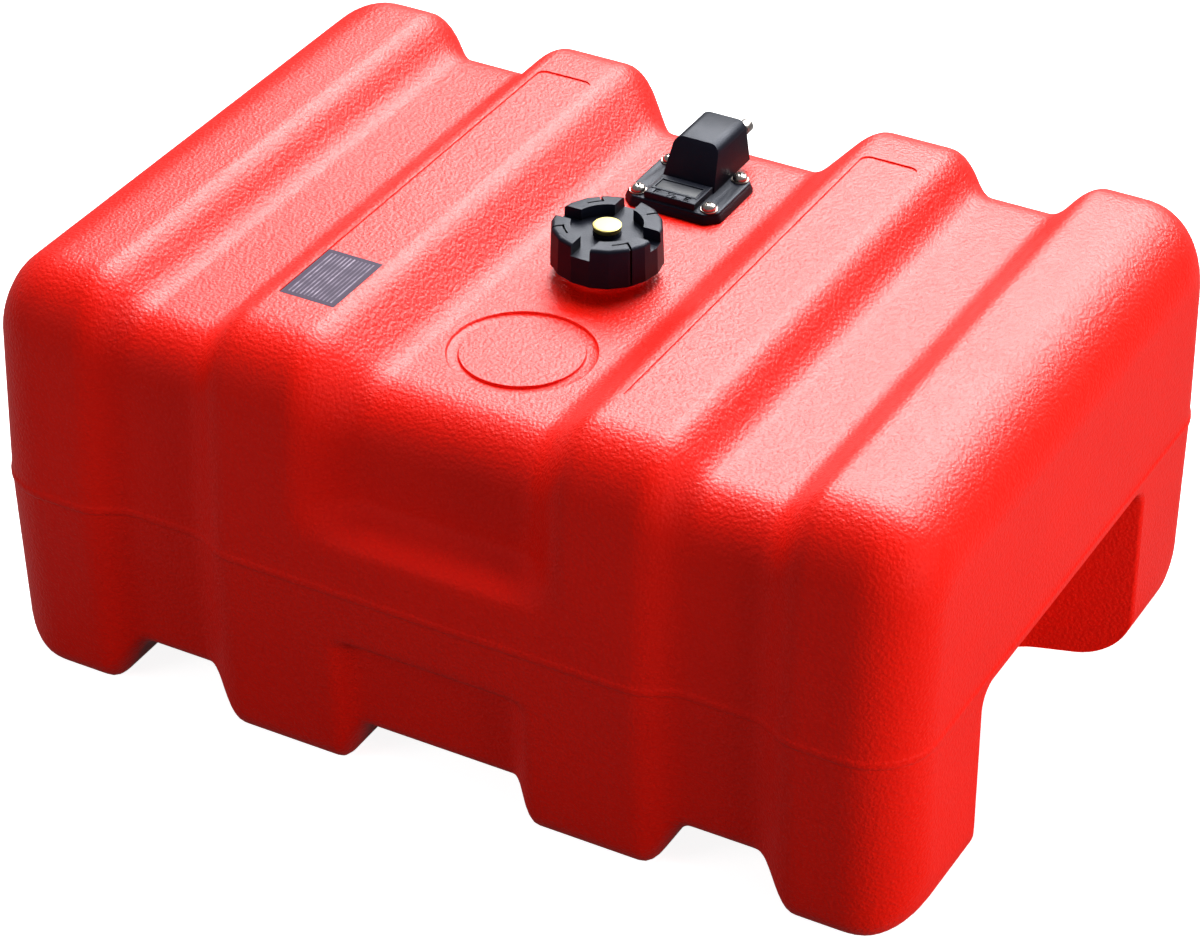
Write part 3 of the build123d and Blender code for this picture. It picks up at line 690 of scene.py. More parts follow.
def wall_rows(start, finish):
    """Heights of the rows up the wall, close together at the bead, the ledge and the low recess."""
    rows = list(np.linspace(start, 90, 5))
    rows += [93, 95.5, 98, 100.5, 103, 106, 112, 120, 129, 135]
    rows += [PARTING + step for step in (-3.6, -3.0, -2.4, -1.7, -0.8, 0.8, 1.7, 2.4, 3.0, 3.6)]
    rows += [150, 159, 167, 172]
    rows += list(np.arange(175, 202, 2.0))
    rows += list(np.linspace(203, finish, 6))
    return np.array(rows)


def half_outline(x, inset):
    """Half cross-section at x, from the middle of the underside to the middle of the top."""
    end = HALF_LONG - inset - abs(x)
    top = eased(x, TOP_LINE, TOP_EASE) - inset - quarter(end, END_ROUND_TOP - inset)
    foot = eased(x, FOOT_LINE, FOOT_EASE) + inset + quarter(end, END_ROUND_FOOT - inset)
    depth = HALF_DEEP - eased(x, CHANNEL_LINE, SIDE_EASE) - inset
    depth -= quarter(end, END_ROUND_SIDE - inset)
    finger = eased(x, FINGER_LINE, SIDE_EASE)
    recess = eased(x, LOW_RECESS_LINE, FOOT_EASE)
    top_radius = eased(x, TOP_CORNER_LINE, TOP_EASE) - inset
    top_radius -= TOP_CORNER_LOSS * quarter(end, END_ROUND_TOP - inset)
    foot_radius = eased(x, FOOT_CORNER_LINE, FOOT_EASE) - inset
    foot_radius += FOOT_CORNER_GAIN * quarter(end, END_ROUND_FOOT - inset)
    share = np.linspace(0, 1, FLAT_STEPS + 1)
    low_turn = np.linspace(0, math.pi / 2, FOOT_ARC_STEPS + 1)[1:]
    high_turn = np.linspace(0, math.pi / 2, TOP_ARC_STEPS + 1)[1:]
    low_depth = depth - recess
    high_depth = depth - finger
    rows = wall_rows(foot + foot_radius, top - top_radius)[1:]
    ledge_low, ledge_high = LEDGE[0] - inset, LEDGE[1] - inset
    wall = depth - finger * smooth(rows, ledge_low, ledge_high)
    wall = wall - recess * (1 - smooth(rows, LOW_RECESS[0] + inset, LOW_RECESS[1] + inset))
    y = np.concatenate([
        share * (low_depth - foot_radius),
        low_depth - foot_radius + foot_radius * np.sin(low_turn),
        wall,
        high_depth - top_radius + top_radius * np.cos(high_turn),
        (share * (high_depth - top_radius))[::-1][1:]])
    z = np.concatenate([
        np.full(FLAT_STEPS + 1, foot),
        foot + foot_radius * (1 - np.cos(low_turn)),
        rows,
        top - top_radius + top_radius * np.sin(high_turn),
        np.full(FLAT_STEPS, top)])
    off = z - PARTING
    away = np.sqrt(off * off + PARTING_EASE ** 2) - PARTING_EASE
    lean = away * np.where(off > 0, UPPER_DRAFT, LOWER_DRAFT)
    return y * (1 - lean / HALF_DEEP), z


def stations(half_long, round_end):
    """Places along the tank for the cross-sections, closer where the form changes."""
    places = list(np.arange(0, 44, 11.0)) + list(np.arange(45, 105, 2.75))
    places += list(np.arange(108, 136, 7.0)) + list(np.arange(136, 176, 2.75))
    places += list(np.arange(180, 208, 7.0)) + list(np.arange(208, 254, 2.75)) + [258, 264, 269]
    start = half_long - round_end
    places += [start + round_end * math.sin(math.radians(a)) for a in range(0, 90, 6)]
    places.append(half_long)
    places = sorted(set(round(p, 4) for p in places))
    return [-p for p in reversed(places[1:])] + places


def shell_form(inset, beaded):
    """Closed mesh of the shell's outside, or of its inside with every wall moved in."""
    half_long = HALF_LONG - inset
    work = bmesh.new()
    outlines = []
    for x in stations(half_long, END_ROUND_SIDE - inset):
        y, z = half_outline(x, inset)
        points = [(x, y[k], z[k]) for k in range(len(y))]
        outlines.append(points + [(x, -y[k], z[k]) for k in range(len(y) - 2, 0, -1)])
    loops = ring_faces(work, outlines)
    count = len(loops[0])
    last = len(y) - 1
    for loop in (loops[0], loops[-1]):
        x = loop[0].co.x
        grid = []
        for k in range(FLAT_STEPS, last - FLAT_STEPS + 1):
            if k == FLAT_STEPS:
                row = [loop[(-j) % count] for j in range(-FLAT_STEPS, FLAT_STEPS + 1)]
            elif k == last - FLAT_STEPS:
                row = [loop[last + j] for j in range(-FLAT_STEPS, FLAT_STEPS + 1)]
            else:
                near = loop[k]
                row = [work.verts.new((x, -near.co.y * j / FLAT_STEPS, near.co.z))
                       for j in range(1 - FLAT_STEPS, FLAT_STEPS)]
                row = [near] + row + [loop[count - k]]
            grid.append(row)
        for low, high in zip(grid, grid[1:]):
            for j in range(len(low) - 1):
                work.faces.new((low[j], low[j + 1], high[j + 1], high[j]))
    bmesh.ops.recalc_face_normals(work, faces=work.faces)
    work.normal_update()
    if beaded:
        for vert in work.verts:
            off = abs(vert.co.z - PARTING)
            if off < BEAD_FOOT:
                flat = Vector((vert.normal.x, vert.normal.y, 0)).normalized()
                vert.co += flat * (BEAD_PROUD * (1 - smooth(off, BEAD_FLAT, BEAD_FOOT)))
    return work


def arch_cutter(work, side, grow):
    """Space under one end between its feet, flared slightly at the end face."""
    far = ARCH_IN_X - grow
    end = HALF_LONG
    spots = [0, 0.6, 1.6, 3.2, 5.4, 8.2, 11.6, 15.5, 20, 26]
    places = [far + s for s in spots] + list(np.linspace(far + 34, end - 3, 8))
    if grow == 0:
        turns = np.radians((15, 30, 45, 60, 70))
        places += list(end - ARCH_FLARE + ARCH_FLARE * np.sin(turns))
    places.append(end + 12)
    loops = []
    for x in places:
        share = (x - ARCH_IN_X) / (HALF_LONG - ARCH_IN_X)
        half = ARCH_IN_HALF + (ARCH_HALF - ARCH_IN_HALF) * share + grow
        half -= quarter(x - far, ARCH_IN_ROUND_SIDE + grow)
        high = ARCH_TOP + grow - quarter(x - far, ARCH_IN_ROUND_TOP + grow)
        if grow == 0:
            spread = ARCH_FLARE * 2.2 if x > end else quarter(min(ARCH_FLARE, end - x), ARCH_FLARE)
            half += spread
            high += spread
        corner = ARCH_CORNER + grow
        loop = [(side * x, half, -20.0)]
        for a in range(0, 91, 10):
            turn = math.radians(a)
            loop.append((side * x, half - corner + corner * math.cos(turn),
                         high - corner + corner * math.sin(turn)))
        loop += [(px, -py, pz) for px, py, pz in reversed(loop)]
        loops.append(loop)
    lofted(work, loops)


def rounded_rectangle(centre, half_x, half_y, back, front):
    """Outline of a rectangle whose back and front corners have their own radii."""
    points = []
    for sx, sy, radius, start in (
            (1, 1, back, 0), (-1, 1, back, 90), (-1, -1, front, 180), (1, -1, front, 270)):
        for a in range(0, 91, 15):
            turn = math.radians(start + a)
            points.append((centre[0] + sx * (half_x - radius) + radius * math.cos(turn),
                           centre[1] + sy * (half_y - radius) + radius * math.sin(turn)))
    return points


def make_shell():
    """Blow-moulded shell: soft ribs and channels, neck, panels, annular groove and hand holds."""
    outside = solid_object("tank_skin", shell_form(0.0, True))
    inside = solid_object("cavity", shell_form(WALL, False))
    inside = cut(inside, "arch_gap", (arch_cutter, -1, WALL), (arch_cutter, 1, WALL))
    neck = [(15, NECK_FOOT), (NECK_RADIUS, NECK_FOOT), (NECK_RADIUS, NECK_PLAIN)]
    for level in THREAD_LEVELS:
        neck += [(NECK_RADIUS, level), (THREAD_RADIUS, level + 0.7), (THREAD_RADIUS, level + 0.9),
                 (NECK_RADIUS, level + 1.6)]
    neck += [(NECK_RADIUS, NECK_TOP - 0.6), (NECK_RADIUS - 0.6, NECK_TOP), (15, NECK_TOP)]
    outside = combine(outside, drawn("neck", (turned, neck)), "UNION")
    outside = combine(outside, drawn("collar", (turned, COLLAR)), "UNION")
    cuts = []
    for side in (-1, 1):
        cuts.append((arch_cutter, side, 0.0))
        cuts.append((stacked, [
            (rounded_rectangle((side * PANEL_X, 0.0), *(v + out for v in PANEL)), z)
            for out, z in PANEL_EDGE]))
    cuts.append((turned, [(r, DECK + z) for r, z in GROOVE], (0.0, GROOVE_Y), 120))
    cuts.append((round_bar, (0, 0), NECK_BORE, *THROUGH_TOP))
    cuts.append((round_bar, (0, GAUGE_Y), GAUGE_HOLE, *THROUGH_TOP))
    cuts += [(round_bar, hole, 4.0, 252, 280, 24) for hole in INSERT_HOLES]
    return combine(cut(outside, "cuts", *cuts), inside, "DIFFERENCE")


# ------------------------ forms of the fittings, in millimetres
ABOVE = 310
# radius, height
CAP_STEPS = ((33.1, 270.8), (33.5, 271.3), (33.5, 272.6), (35.4, 272.6), (35.8, 273.1), (34.9, 296.3))
CAP_RADIUS = 35.8
CAP_TOP = 298.6
CAP_DISC = 291.0
CAP_DISC_RADIUS = 22.8
CAP_FACETS = 18
SHOULDER_ACROSS = 2.7
SHOULDER_DOWN = 2.3
# direction of each grip's middle, and which way its latch mark turns
GRIP_MIDDLES = ((-45, 1), (45, 0), (135, -1), (225, -1))
SLIT = 1.6
SLIT_BESIDE = 5.2
LATCH_RADIUS = 27.2
LATCH_FLOOR = CAP_TOP - 2.2
LATCH_SHORT = 10.5
LATCH_LONG = 12.5
BOSS_RADIUS = 9.0
BOSS_TOP = 293.6
SKIRT_BORE = 26.4
SKIRT_BORE_TOP = 285.5
KNOB = ((0, 297.9), (7.4, 297.9), (8.6, 297.75), (9.1, 297.4), (9.2, 296.9), (8.9, 295.5),
        (8.6, 294.2), (8.1, 293.8), (6.6, 293.8), (6.6, 295.0), (2.95, 295.0), (2.95, 284.6),
        (1.9, 282.9), (0, 282.9))
SCREW = ((0, 3.7), (1.5, 3.6), (2.9, 3.2), (3.9, 2.55), (4.6, 1.7), (4.95, 0.9), (4.9, 0.2),
         (4.7, 0.0), (2.45, 0.0), (2.45, -15.0), (0, -15.0))
WASHER = ((2.7, 0.0), (5.6, 0.0), (5.8, 0.2), (5.8, 0.75), (5.6, 0.95), (2.7, 0.95))
HOOD_FOOT = 270.5
HOOD_TOP = 298.5
HOOD_HALF_FOOT = 19.0
HOOD_HALF_TOP = 15.6
HOOD_ROUND = 6.8
HOOD_RAKE = 0.46
# how much smaller than the outside, front, back, foot
HOOD_BODY = (0.0, 106.6, 157.0, HOOD_FOOT)
HOOD_HOLLOW = (2.2, 109.6, 154.8, 266.0)
HOOD_OPENING = ((-12.5, 140, 275), (12.5, 170, 291))
# half length, half depth, how far each corner is cut back, radius there
PLATE_FOOT = (33, 29.5, 7, 5)
PLATE_FOOT_INSIDE = (31.6, 28.3, 6.6, 5)
CUT_FLARE = 0.59
# distance outside the gauge plate's edge, height
PLATE_FLARE = ((1.5, 263.9), (1.5, 265.4), (1.1, 266.4), (0.2, 268.6), (-0.4, 269.0))
MARK_STRIP = ((-17.3, 82.1, 272), (17.3, 88.4, 275.06))
WINDOW_RIM = ((-16.2, 88.0, 274.2), (16.2, 102.2, 275.5))
WINDOW = ((-14.7, 89.4, 270), (14.7, 100.8, 280))
MARK_Y = 85.2
MARK_FLOOR = 273.9
MARK_ABOVE = 280
HALF_SLASH = ((-3.4, -0.4, MARK_FLOOR), (3.4, 0.4, MARK_ABOVE), 50, (-0.4, MARK_Y))
# place along the tank of the full, half and empty marks, and the strokes of each
MARKS = (
    (-10.8, ((-1.9, -2.4, -0.9, 2.4), (-1.9, 1.4, 1.9, 2.4), (-1.9, -0.5, 1.2, 0.5))),
    (0.0, ((-3.3, 0.1, -2.4, 2.6), (0.7, -0.7, 3.1, 0.1), (2.3, -1.6, 3.1, 0.1),
           (0.7, -1.9, 3.1, -1.1), (0.7, -2.8, 1.5, -1.1), (0.7, -3.0, 3.1, -2.2))),
    (10.8, ((-1.9, -2.4, -0.9, 2.4), (-1.9, 1.4, 1.9, 2.4), (-1.9, -0.5, 1.2, 0.5),
            (-1.9, -2.4, 1.9, -1.4))),
)


def make_cap(radius, gap):
    """Faceted cap: four grips with broad sloped shoulders and a slit each, round a recessed disc."""
    grow = radius - CAP_RADIUS
    rings = [(r + grow, z) for r, z in CAP_STEPS]
    edge, height = rings[-1]
    for angle in range(11, 91, 11):
        turn = math.radians(angle)
        rings.append((edge - SHOULDER_ACROSS * (1 - math.cos(turn)),
                      height + SHOULDER_DOWN * math.sin(turn)))
    rings.append((edge - SHOULDER_ACROSS - 0.5, CAP_TOP))
    cap = drawn("filler_cap", (stacked, [(circle((0, 0), r, CAP_FACETS), z) for r, z in rings]))
    cap = cut(cap, "disc", (round_bar, (0, 0), CAP_DISC_RADIUS, CAP_DISC, ABOVE, 64))
    for turn in (0, 90):
        cap = cut(cap, "gap", (block, (-50, -gap / 2, CAP_DISC), (50, gap / 2, ABOVE), turn))
    for middle, way in GRIP_MIDDLES:
        beside = SLIT_BESIDE * (way or 0.6)
        sides = beside - SLIT / 2, beside + SLIT / 2
        for start, low in ((LATCH_RADIUS - 1, LATCH_FLOOR), (radius - 3.4, 262)):
            cap = cut(cap, "slit", (block, (start, sides[0], low), (45, sides[1], ABOVE), middle))
        if way:
            start, end = sorted((middle - LATCH_SHORT * way, middle + LATCH_LONG * way))
            mark = (arc_bar, LATCH_RADIUS, SLIT * 0.85, start, end, LATCH_FLOOR, ABOVE)
            cap = cut(cap, "latch", mark)
    cap = combine(cap, drawn("boss", (round_bar, (0, 0), BOSS_RADIUS, 290.0, BOSS_TOP, 48)), "UNION")
    cap = cut(cap, "hollow", (round_bar, (0, 0), SKIRT_BORE, 255, SKIRT_BORE_TOP, 64))
    return in_metres(cut(cap, "bore", (round_bar, (0, 0), 3.0, 280, 300, 24)))


def corner_cut_outline(half_x, half_y, cut_back, radius):
    """Outline of the gauge plate: a rectangle with cut corners, each resulting corner rounded."""
    across, along = half_x - cut_back, half_y - cut_back
    corners = [(half_x, -along), (half_x, along), (across, half_y), (-across, half_y),
               (-half_x, along), (-half_x, -along), (-across, -half_y), (across, -half_y)]
    points = []
    back = radius * math.tan(math.radians(22.5))
    for index, corner in enumerate(corners):
        here = Vector(corner)
        before = (Vector(corners[index - 1]) - here).normalized()
        after = (Vector(corners[(index + 1) % 8]) - here).normalized()
        first, last = here + before * back, here + after * back
        for share in (0.0, 0.25, 0.5, 0.75, 1.0):
            bend = first * (1 - share) ** 2 + here * (2 * share * (1 - share)) + last * share ** 2
            points.append((bend.x, GAUGE_Y + bend.y))
    return points


def make_plate():
    """Gauge plate with its window block, engraved marks and a flared foot round its edge."""
    work = merged(NODES["gauge_flange"].data)
    bmesh.ops.scale(work, vec=(1 / MM,) * 3, verts=work.verts)
    plate = solid_object("gauge_plate", work)
    rim = cut(drawn("rim", (block, *WINDOW_RIM)), "opening", (block, *WINDOW))
    plate = combine(plate, drawn("strip", (block, *MARK_STRIP)), "UNION")
    plate = combine(plate, rim, "UNION")
    for along, strokes in MARKS:
        for x0, y0, x1, y1 in strokes:
            plate = cut(plate, "stroke", (block, (along + x0, MARK_Y + y0, MARK_FLOOR),
                                          (along + x1, MARK_Y + y1, MARK_ABOVE)))
    plate = cut(plate, "stroke", (block, *HALF_SLASH))
    half_x, half_y, back, radius = PLATE_FOOT
    foot = drawn("foot", (stacked, [
        (corner_cut_outline(half_x + out, half_y + out, back + CUT_FLARE * out, radius), z)
        for out, z in PLATE_FLARE]))
    foot = cut(foot, "inside", (upright, corner_cut_outline(*PLATE_FOOT_INSIDE), 260, 275))
    return in_metres(combine(plate, foot, "UNION"))


def hood_section(work, spare, y_low, y_high, base):
    """Body of the hood: leaning sides, broad round shoulders and a raked front."""
    radius = HOOD_ROUND - spare
    half = HOOD_HALF_FOOT - spare
    slope = (HOOD_HALF_FOOT - HOOD_HALF_TOP) / (HOOD_TOP - HOOD_FOOT)
    middle = HOOD_TOP - spare - radius
    tilt = math.atan(slope)
    side = half - slope * (middle - HOOD_FOOT) - radius / math.cos(tilt)
    right = [(half - slope * (base - HOOD_FOOT), base)]
    for step in range(10):
        turn = tilt + (math.pi / 2 - tilt) * step / 9
        right.append((side + radius * math.cos(turn), middle + radius * math.sin(turn)))
    outline = right + [(-x, z) for x, z in reversed(right)]
    lofted(work, [[(x, y + lean * (z - HOOD_FOOT), z) for x, z in outline]
                  for y, lean in ((y_low, HOOD_RAKE), (y_high, -0.02))])


def make_hood():
    """Hood over the connector, hollow, with its back opening."""
    hood = drawn("connector_cover", (hood_section, *HOOD_BODY))
    hood = cut(hood, "hollow", (hood_section, *HOOD_HOLLOW))
    return in_metres(cut(hood, "opening", (block, *HOOD_OPENING)))


def make_screw_head():
    """Pan-head screw with a cross recess, seat at zero."""
    screw = spun("screw", SCREW, 40)
    for turn in (0, 90):
        screw = cut(screw, "recess", (block, (-2.9, -0.6, 1.8), (2.9, 0.6, 5), turn))
    return in_metres(screw)


@made_once
def corner_fasteners():
    """Node tree: one fastener on each corner of a rectangle, each turned by a seeded amount."""
    tree = bpy.data.node_groups.new("corner_fasteners", "GeometryNodeTree")
    for kind, label in (
            ("Geometry", "Geometry"), ("Object", "Fastener"), ("Float", "Half spacing along"),
            ("Float", "Half spacing across"), ("Vector", "Middle"), ("Float", "Largest turn"),
            ("Int", "Seed"), ("Material", "Finish")):
        tree.interface.new_socket(name=label, in_out="INPUT", socket_type="NodeSocket" + kind)
    tree.interface.new_socket(name="Geometry", in_out="OUTPUT", socket_type="NodeSocketGeometry")
    given = tree.nodes.new("NodeGroupInput").outputs
    out = tree.nodes.new("NodeGroupOutput").inputs
    along = maths(tree, "MULTIPLY", given["Half spacing along"], 2.0)
    across = maths(tree, "MULTIPLY", given["Half spacing across"], 2.0)
    grid = add_node(tree, "GeometryNodeMeshGrid", {
        "Size X": along, "Size Y": across, "Vertices X": 2, "Vertices Y": 2})
    placed = add_node(tree, "GeometryNodeTransform", {
        "Geometry": grid.outputs["Mesh"], "Translation": given["Middle"]})
    one = add_node(tree, "GeometryNodeObjectInfo", {"Object": given["Fastener"], "As Instance": True})
    angle = add_node(tree, "FunctionNodeRandomValue", {3: given["Largest turn"], "Seed": given["Seed"]},
                     data_type="FLOAT")
    spin = add_node(tree, "ShaderNodeCombineXYZ", {"Z": angle.outputs[1]})
    copies = add_node(tree, "GeometryNodeInstanceOnPoints", {
        "Points": placed.outputs["Geometry"], "Instance": one.outputs["Geometry"],
        "Rotation": spin.outputs[0]})
    real = add_node(tree, "GeometryNodeRealizeInstances", {"Geometry": copies.outputs["Instances"]})
    finished = add_node(tree, "GeometryNodeSetMaterial", {
        "Geometry": real.outputs["Geometry"], "Material": given["Finish"]})
    tree.links.new(finished.outputs["Geometry"], out["Geometry"])
    return tree


def set_on_corners(name, fastener, height, material):
    """Four fasteners at the corners of the gauge plate, as one piece on the tank."""
    look = bpy.context.scene.tank_fitting_look
    pattern = bpy.data.objects.new(name + "_pattern", fastener)
    host = bpy.data.objects.new(name + "_host", bpy.data.meshes.new(name + "_host"))
    for piece in (pattern, host):
        bpy.context.scene.collection.objects.link(piece)
    tree = corner_fasteners()
    modifier = host.modifiers.new(name, "NODES")
    modifier.node_group = tree
    middle = ((PLATE_LOW.x + PLATE_HIGH.x) / 2, (PLATE_LOW.y + PLATE_HIGH.y) / 2, height)
    values = {"Fastener": pattern, "Half spacing along": look.screw_spread_x,
              "Half spacing across": look.screw_spread_y, "Middle": middle, "Largest turn": math.pi,
              "Seed": look.screw_seed, "Finish": material}
    for socket in tree.interface.items_tree:
        if socket.in_out == "INPUT" and socket.name in values:
            modifier[socket.identifier] = values[socket.name]
    mesh = evaluated_mesh(host, name)
    bpy.data.objects.remove(host)
    bpy.data.objects.remove(pattern)
    nodes = [f"{name[:-1]}_{index}" for index in range(1, 5)]
    dress(new_object(name, mesh, material), "tank", nodes, shading=38)


# ------------------------ operators
class TANK_OT_shell(bpy.types.Operator):
    """Make the moulded shell with its grained red finish"""
    bl_idname = "fuel_tank.shell"
    bl_label = "Tank shell"

    def execute(self, context):
        skin = new_object("tank_skin", in_metres(make_shell()), grained_red())
        dress(skin, "tank", ("tank_shell",), shading=34)
        return {"FINISHED"}


class TANK_OT_label(bpy.types.Operator):
    """Give the plain rating label its foil"""
    bl_idname = "fuel_tank.label"
    bl_label = "Rating label"

    def execute(self, context):
        paint(ruled_label(), "rating_label")
        return {"FINISHED"}


class TANK_OT_cap(bpy.types.Operator):
    """Make the filler cap, and finish the seals"""
    bl_idname = "fuel_tank.cap"
    bl_label = "Filler cap"

    def execute(self, context):
        look = context.scene.tank_fitting_look
        rounded_piece(make_cap(look.cap_radius / MM, look.grip_gap / MM), "filler_cap", matt_black(),
                      look.edge_round, "cap", "cap_body", shading=16)
        paint(plain_finish("soft_rubber", (0.016, 0.016, 0.016, 1.0), 0.62, 0.0, 0.0008, 0.00004, 0.02,
                           second=(0.035, 0.035, 0.035, 1.0)),
              "cap_gasket", "vent_seal", "gauge_gasket", "connector_ring")
        return {"FINISHED"}


class TANK_OT_vent(bpy.types.Operator):
    """Make the brass vent screw"""
    bl_idname = "fuel_tank.vent"
    bl_label = "Vent screw"

    def execute(self, context):
        knob = in_metres(spun("vent_thumb_screw", KNOB))
        dress(new_object("vent_thumb_screw", knob, turned_brass()), "vent", ("vent_screw",), shading=40)
        return {"FINISHED"}


class TANK_OT_gauge(bpy.types.Operator):
    """Make the gauge plate, its window, dial and pointer"""
    bl_idname = "fuel_tank.gauge"
    bl_label = "Fuel gauge"

    def execute(self, context):
        rounded_piece(make_plate(), "gauge_plate", matt_black(), FINE_ROUND, "tank", "gauge_flange")
        rounded_copy("gauge_lens", "gauge_window", clear_cover(), FINE_ROUND, "tank")
        grey = plain_finish("grey_dial", (0.10, 0.11, 0.125, 1.0), 0.45, 0.0, 0.0006, 0.00002, 0.01)
        red = plain_finish("red_pointer", (0.65, 0.03, 0.02, 1.0), 0.38, 0.0, 0.0006, 0.00002, 0.01)
        paint(grey, "gauge_dial")
        paint(red, "gauge_pointer")
        return {"FINISHED"}


class TANK_OT_connector(bpy.types.Operator):
    """Make the hood and the twin-pin hose connector"""
    bl_idname = "fuel_tank.connector"
    bl_label = "Hose connector"

    def execute(self, context):
        round_size = context.scene.tank_fitting_look.edge_round
        rounded_piece(make_hood(), "connector_cover", matt_black(), round_size,
                      "tank", "connector_hood", shading=24)
        rounded_copy("hose_connector", "twin_pin_connector", bright_plating(), FINE_ROUND, "tank")
        return {"FINISHED"}


class TANK_OT_screws(bpy.types.Operator):
    """Make the gauge screws and washers, and finish their inserts and the pivot pin"""
    bl_idname = "fuel_tank.screws"
    bl_label = "Gauge screws"

    def execute(self, context):
        set_on_corners("gauge_screws", make_screw_head(), SCREW_SEAT, bright_plating())
        washer = in_metres(drawn("ring", (turned, WASHER, (0, 0), 40)))
        dull = plain_finish("dull_plating", (0.34, 0.30, 0.27, 1.0), 0.34, 1.0, 0.0012, 0.00001, 0.01)
        set_on_corners("gauge_washers", washer, WASHER_SEAT, dull)
        paint(plain_finish("machined_brass", (0.80, 0.60, 0.28, 1.0), 0.32, 1.0, 0.0009, 0.00003, 0.01),
              "pivot_pin", *[f"gauge_insert_{index}" for index in range(1, 5)])
        return {"FINISHED"}


class TANK_OT_inside(bpy.types.Operator):
    """Finish the pickup, the sender and the float inside the tank"""
    bl_idname = "fuel_tank.inside"
    bl_label = "Inner parts"

    def execute(self, context):
        paint(plain_finish("drawn_steel", (0.56, 0.56, 0.57, 1.0), 0.34, 1.0, 0.0015, 0.00003, 0.02),
              "pickup_strainer", "sender_leg", "float_arm")
        paint(plain_finish("black_tube", (0.03, 0.03, 0.03, 1.0), 0.5, 0.0, 0.001, 0.00003, 0.02,
                           second=(0.06, 0.06, 0.06, 1.0)), "pickup_tube")
        paint(plain_finish("closed_foam", (0.06, 0.06, 0.065, 1.0), 0.75, 0.0, 0.0012, 0.0002, 0.02,
                           second=(0.10, 0.10, 0.10, 1.0)), "float_body")
        return {"FINISHED"}


# ------------------------ stage
FLOOR_HALF = 9
FLOOR_TONE = 0.07
FLOOR_GLOW = 0.90


def area_light(name, place, aim, size, power, glossy=True, diffuse=True):
    """Soft rectangular light aimed at a point, which gloss or plain shading can leave out."""
    lamp = bpy.data.lights.new(name, "AREA")
    lamp.shape = "RECTANGLE"
    lamp.size, lamp.size_y = size
    lamp.energy = power
    light = bpy.data.objects.new(name, lamp)
    light.location = place
    light.visible_glossy = glossy
    light.visible_diffuse = diffuse
    light.rotation_euler = (Vector(aim) - Vector(place)).to_track_quat("-Z", "Y").to_euler()
    bpy.context.scene.collection.objects.link(light)


def background_share(tree, mirrored):
    """How far a ray sees the white background: camera and glass rays fully, glossy rays in part."""
    path = add_node(tree, "ShaderNodeLightPath")
    direct = maths(tree, "MAXIMUM", path.outputs["Is Camera Ray"], path.outputs["Is Transmission Ray"])
    glossy = maths(tree, "MULTIPLY", path.outputs["Is Glossy Ray"], mirrored)
    return maths(tree, "MAXIMUM", direct, glossy)


def seen_white(name, tone, seen, mirrored):
    """Plain matt floor that camera, glass and glossy rays see brighter than the light on it."""
    material, tree, shader, place = new_material(name)
    cloud = noise(tree, place, 3.0, 2.0)
    colour = mix_colour(tree, cloud, (tone, tone, tone, 1.0), (tone * 0.97,) * 3 + (1.0,))
    fill(tree, shader, {"Base Color": colour, "Roughness": 0.9, "Specular IOR Level": 0.0})
    lit = add_node(tree, "ShaderNodeBsdfDiffuse", {"Color": (0.8, 0.8, 0.8, 1.0)})
    glow = add_node(tree, "ShaderNodeEmission", {"Color": (1, 1, 1, 1), "Strength": seen})
    shown = add_node(tree, "ShaderNodeAddShader", {0: lit.outputs[0], 1: glow.outputs[0]})
    both = add_node(tree, "ShaderNodeMixShader", {
        0: background_share(tree, mirrored), 1: shader.outputs[0], 2: shown.outputs[0]})
    tree.links.new(both.outputs[0], tree.nodes["Material Output"].inputs["Surface"])
    return material


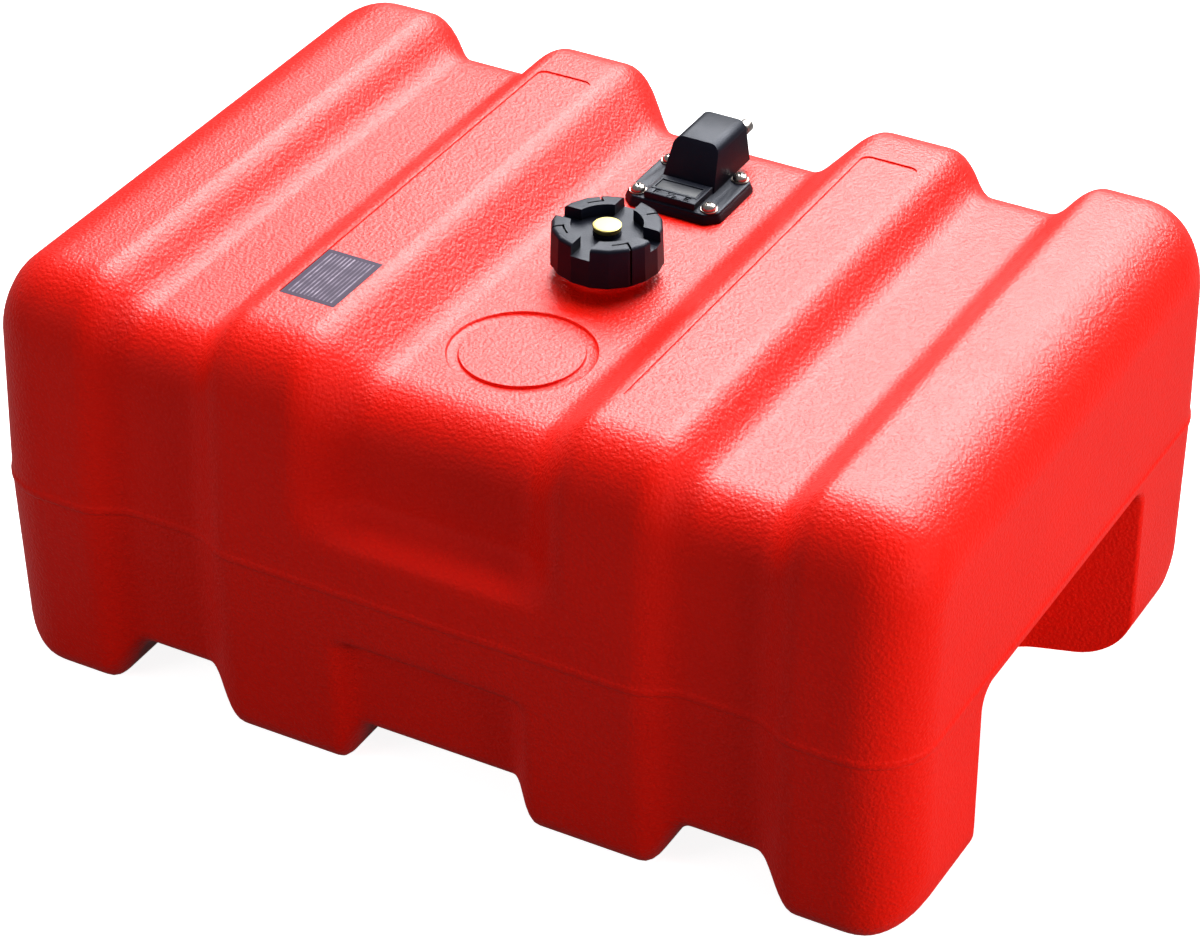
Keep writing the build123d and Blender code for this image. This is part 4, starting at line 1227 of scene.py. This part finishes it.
class TANK_OT_stage(bpy.types.Operator):
    """Set up the floor, the lights and the camera"""
    bl_idname = "fuel_tank.stage"
    bl_label = "Stage"

    def execute(self, context):
        scene = context.scene
        stage = scene.tank_stage
        mesh = bpy.data.meshes.new("floor")
        corners = [(x * FLOOR_HALF, y * FLOOR_HALF, 0) for x, y in ((-1, -1), (1, -1), (1, 1), (-1, 1))]
        mesh.from_pydata(corners, [], [(0, 1, 2, 3)])
        white = seen_white("floor_white", FLOOR_TONE, FLOOR_GLOW, stage.mirrored)
        new_object("floor", mesh, white, smooth=False)
        world = bpy.data.worlds.new("studio")
        scene.world = world
        world.use_nodes = True
        tree = world.node_tree
        background = tree.nodes["Background"]
        strength = add_node(tree, "ShaderNodeMapRange", {
            "Value": background_share(tree, stage.mirrored), "To Min": stage.sky, "To Max": 1.0})
        tree.links.new(strength.outputs["Result"], background.inputs["Strength"])
        background.inputs["Color"].default_value = (1, 1, 1, 1)
        area_light("key", (2.35, -0.12, 0.6), (0.2, 0, 0.12), (1.5, 1.0),
                   stage.key_power, glossy=False)
        area_light("sheen", (-0.02, 1.72, 1.95), (0.05, -0.05, 0.28), (2.6, 1.25),
                   stage.sheen_power, diffuse=False)
        area_light("crown", (-0.15, 0.95, 2.1), (0, 0, 0.28), (1.4, 1.4),
                   stage.crown_power, glossy=False)
        area_light("fill", (-1.5, -2.3, 1.1), (-0.1, 0, 0.12), (1.3, 1.3),
                   stage.fill_power, glossy=False)
        data = bpy.data.cameras.new("camera")
        data.lens = stage.lens
        data.sensor_width = 36
        data.sensor_fit = "HORIZONTAL"
        data.clip_end = 50
        camera = bpy.data.objects.new("camera", data)
        camera.location = stage.camera_place
        camera.rotation_euler = (stage.camera_tilt, 0, stage.camera_turn)
        scene.collection.objects.link(camera)
        scene.camera = camera
        scene.view_settings.view_transform = "Standard"
        return {"FINISHED"}


STEPS = ("shell", "label", "cap", "vent", "gauge", "connector", "screws", "inside", "stage")


class TANK_PT_panel(bpy.types.Panel):
    """Sidebar list of the tank's pieces and settings"""
    bl_idname = "TANK_PT_panel"
    bl_label = "Outboard Fuel Tank"
    bl_space_type = "VIEW_3D"
    bl_region_type = "UI"
    bl_category = "Fuel Tank"

    def draw(self, context):
        column = self.layout.column(align=True)
        for step in STEPS:
            column.operator("fuel_tank." + step)
        scene = context.scene
        for group in (scene.tank_shell_look, scene.tank_fitting_look, scene.tank_stage):
            part = self.layout.box().column()
            for name in group.bl_rna.properties.keys():
                if name not in ("rna_type", "name"):
                    part.prop(group, name)


CLASSES = (
    ShellSettings, FittingSettings, StageSettings,
    TANK_OT_shell, TANK_OT_label, TANK_OT_cap, TANK_OT_vent, TANK_OT_gauge, TANK_OT_connector,
    TANK_OT_screws, TANK_OT_inside, TANK_OT_stage, TANK_PT_panel,
)


def register():
    """Make the classes and the scene's settings known."""
    for item in CLASSES:
        bpy.utils.register_class(item)
    bpy.types.Scene.tank_shell_look = PointerProperty(type=ShellSettings)
    bpy.types.Scene.tank_fitting_look = PointerProperty(type=FittingSettings)
    bpy.types.Scene.tank_stage = PointerProperty(type=StageSettings)


def unregister():
    """Forget the settings and the classes."""
    del bpy.types.Scene.tank_stage
    del bpy.types.Scene.tank_fitting_look
    del bpy.types.Scene.tank_shell_look
    for item in reversed(CLASSES):
        bpy.utils.unregister_class(item)


def main():
    register()
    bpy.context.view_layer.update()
    for step in STEPS:
        getattr(bpy.ops.fuel_tank, step)()


if __name__ == "__main__":
    main()
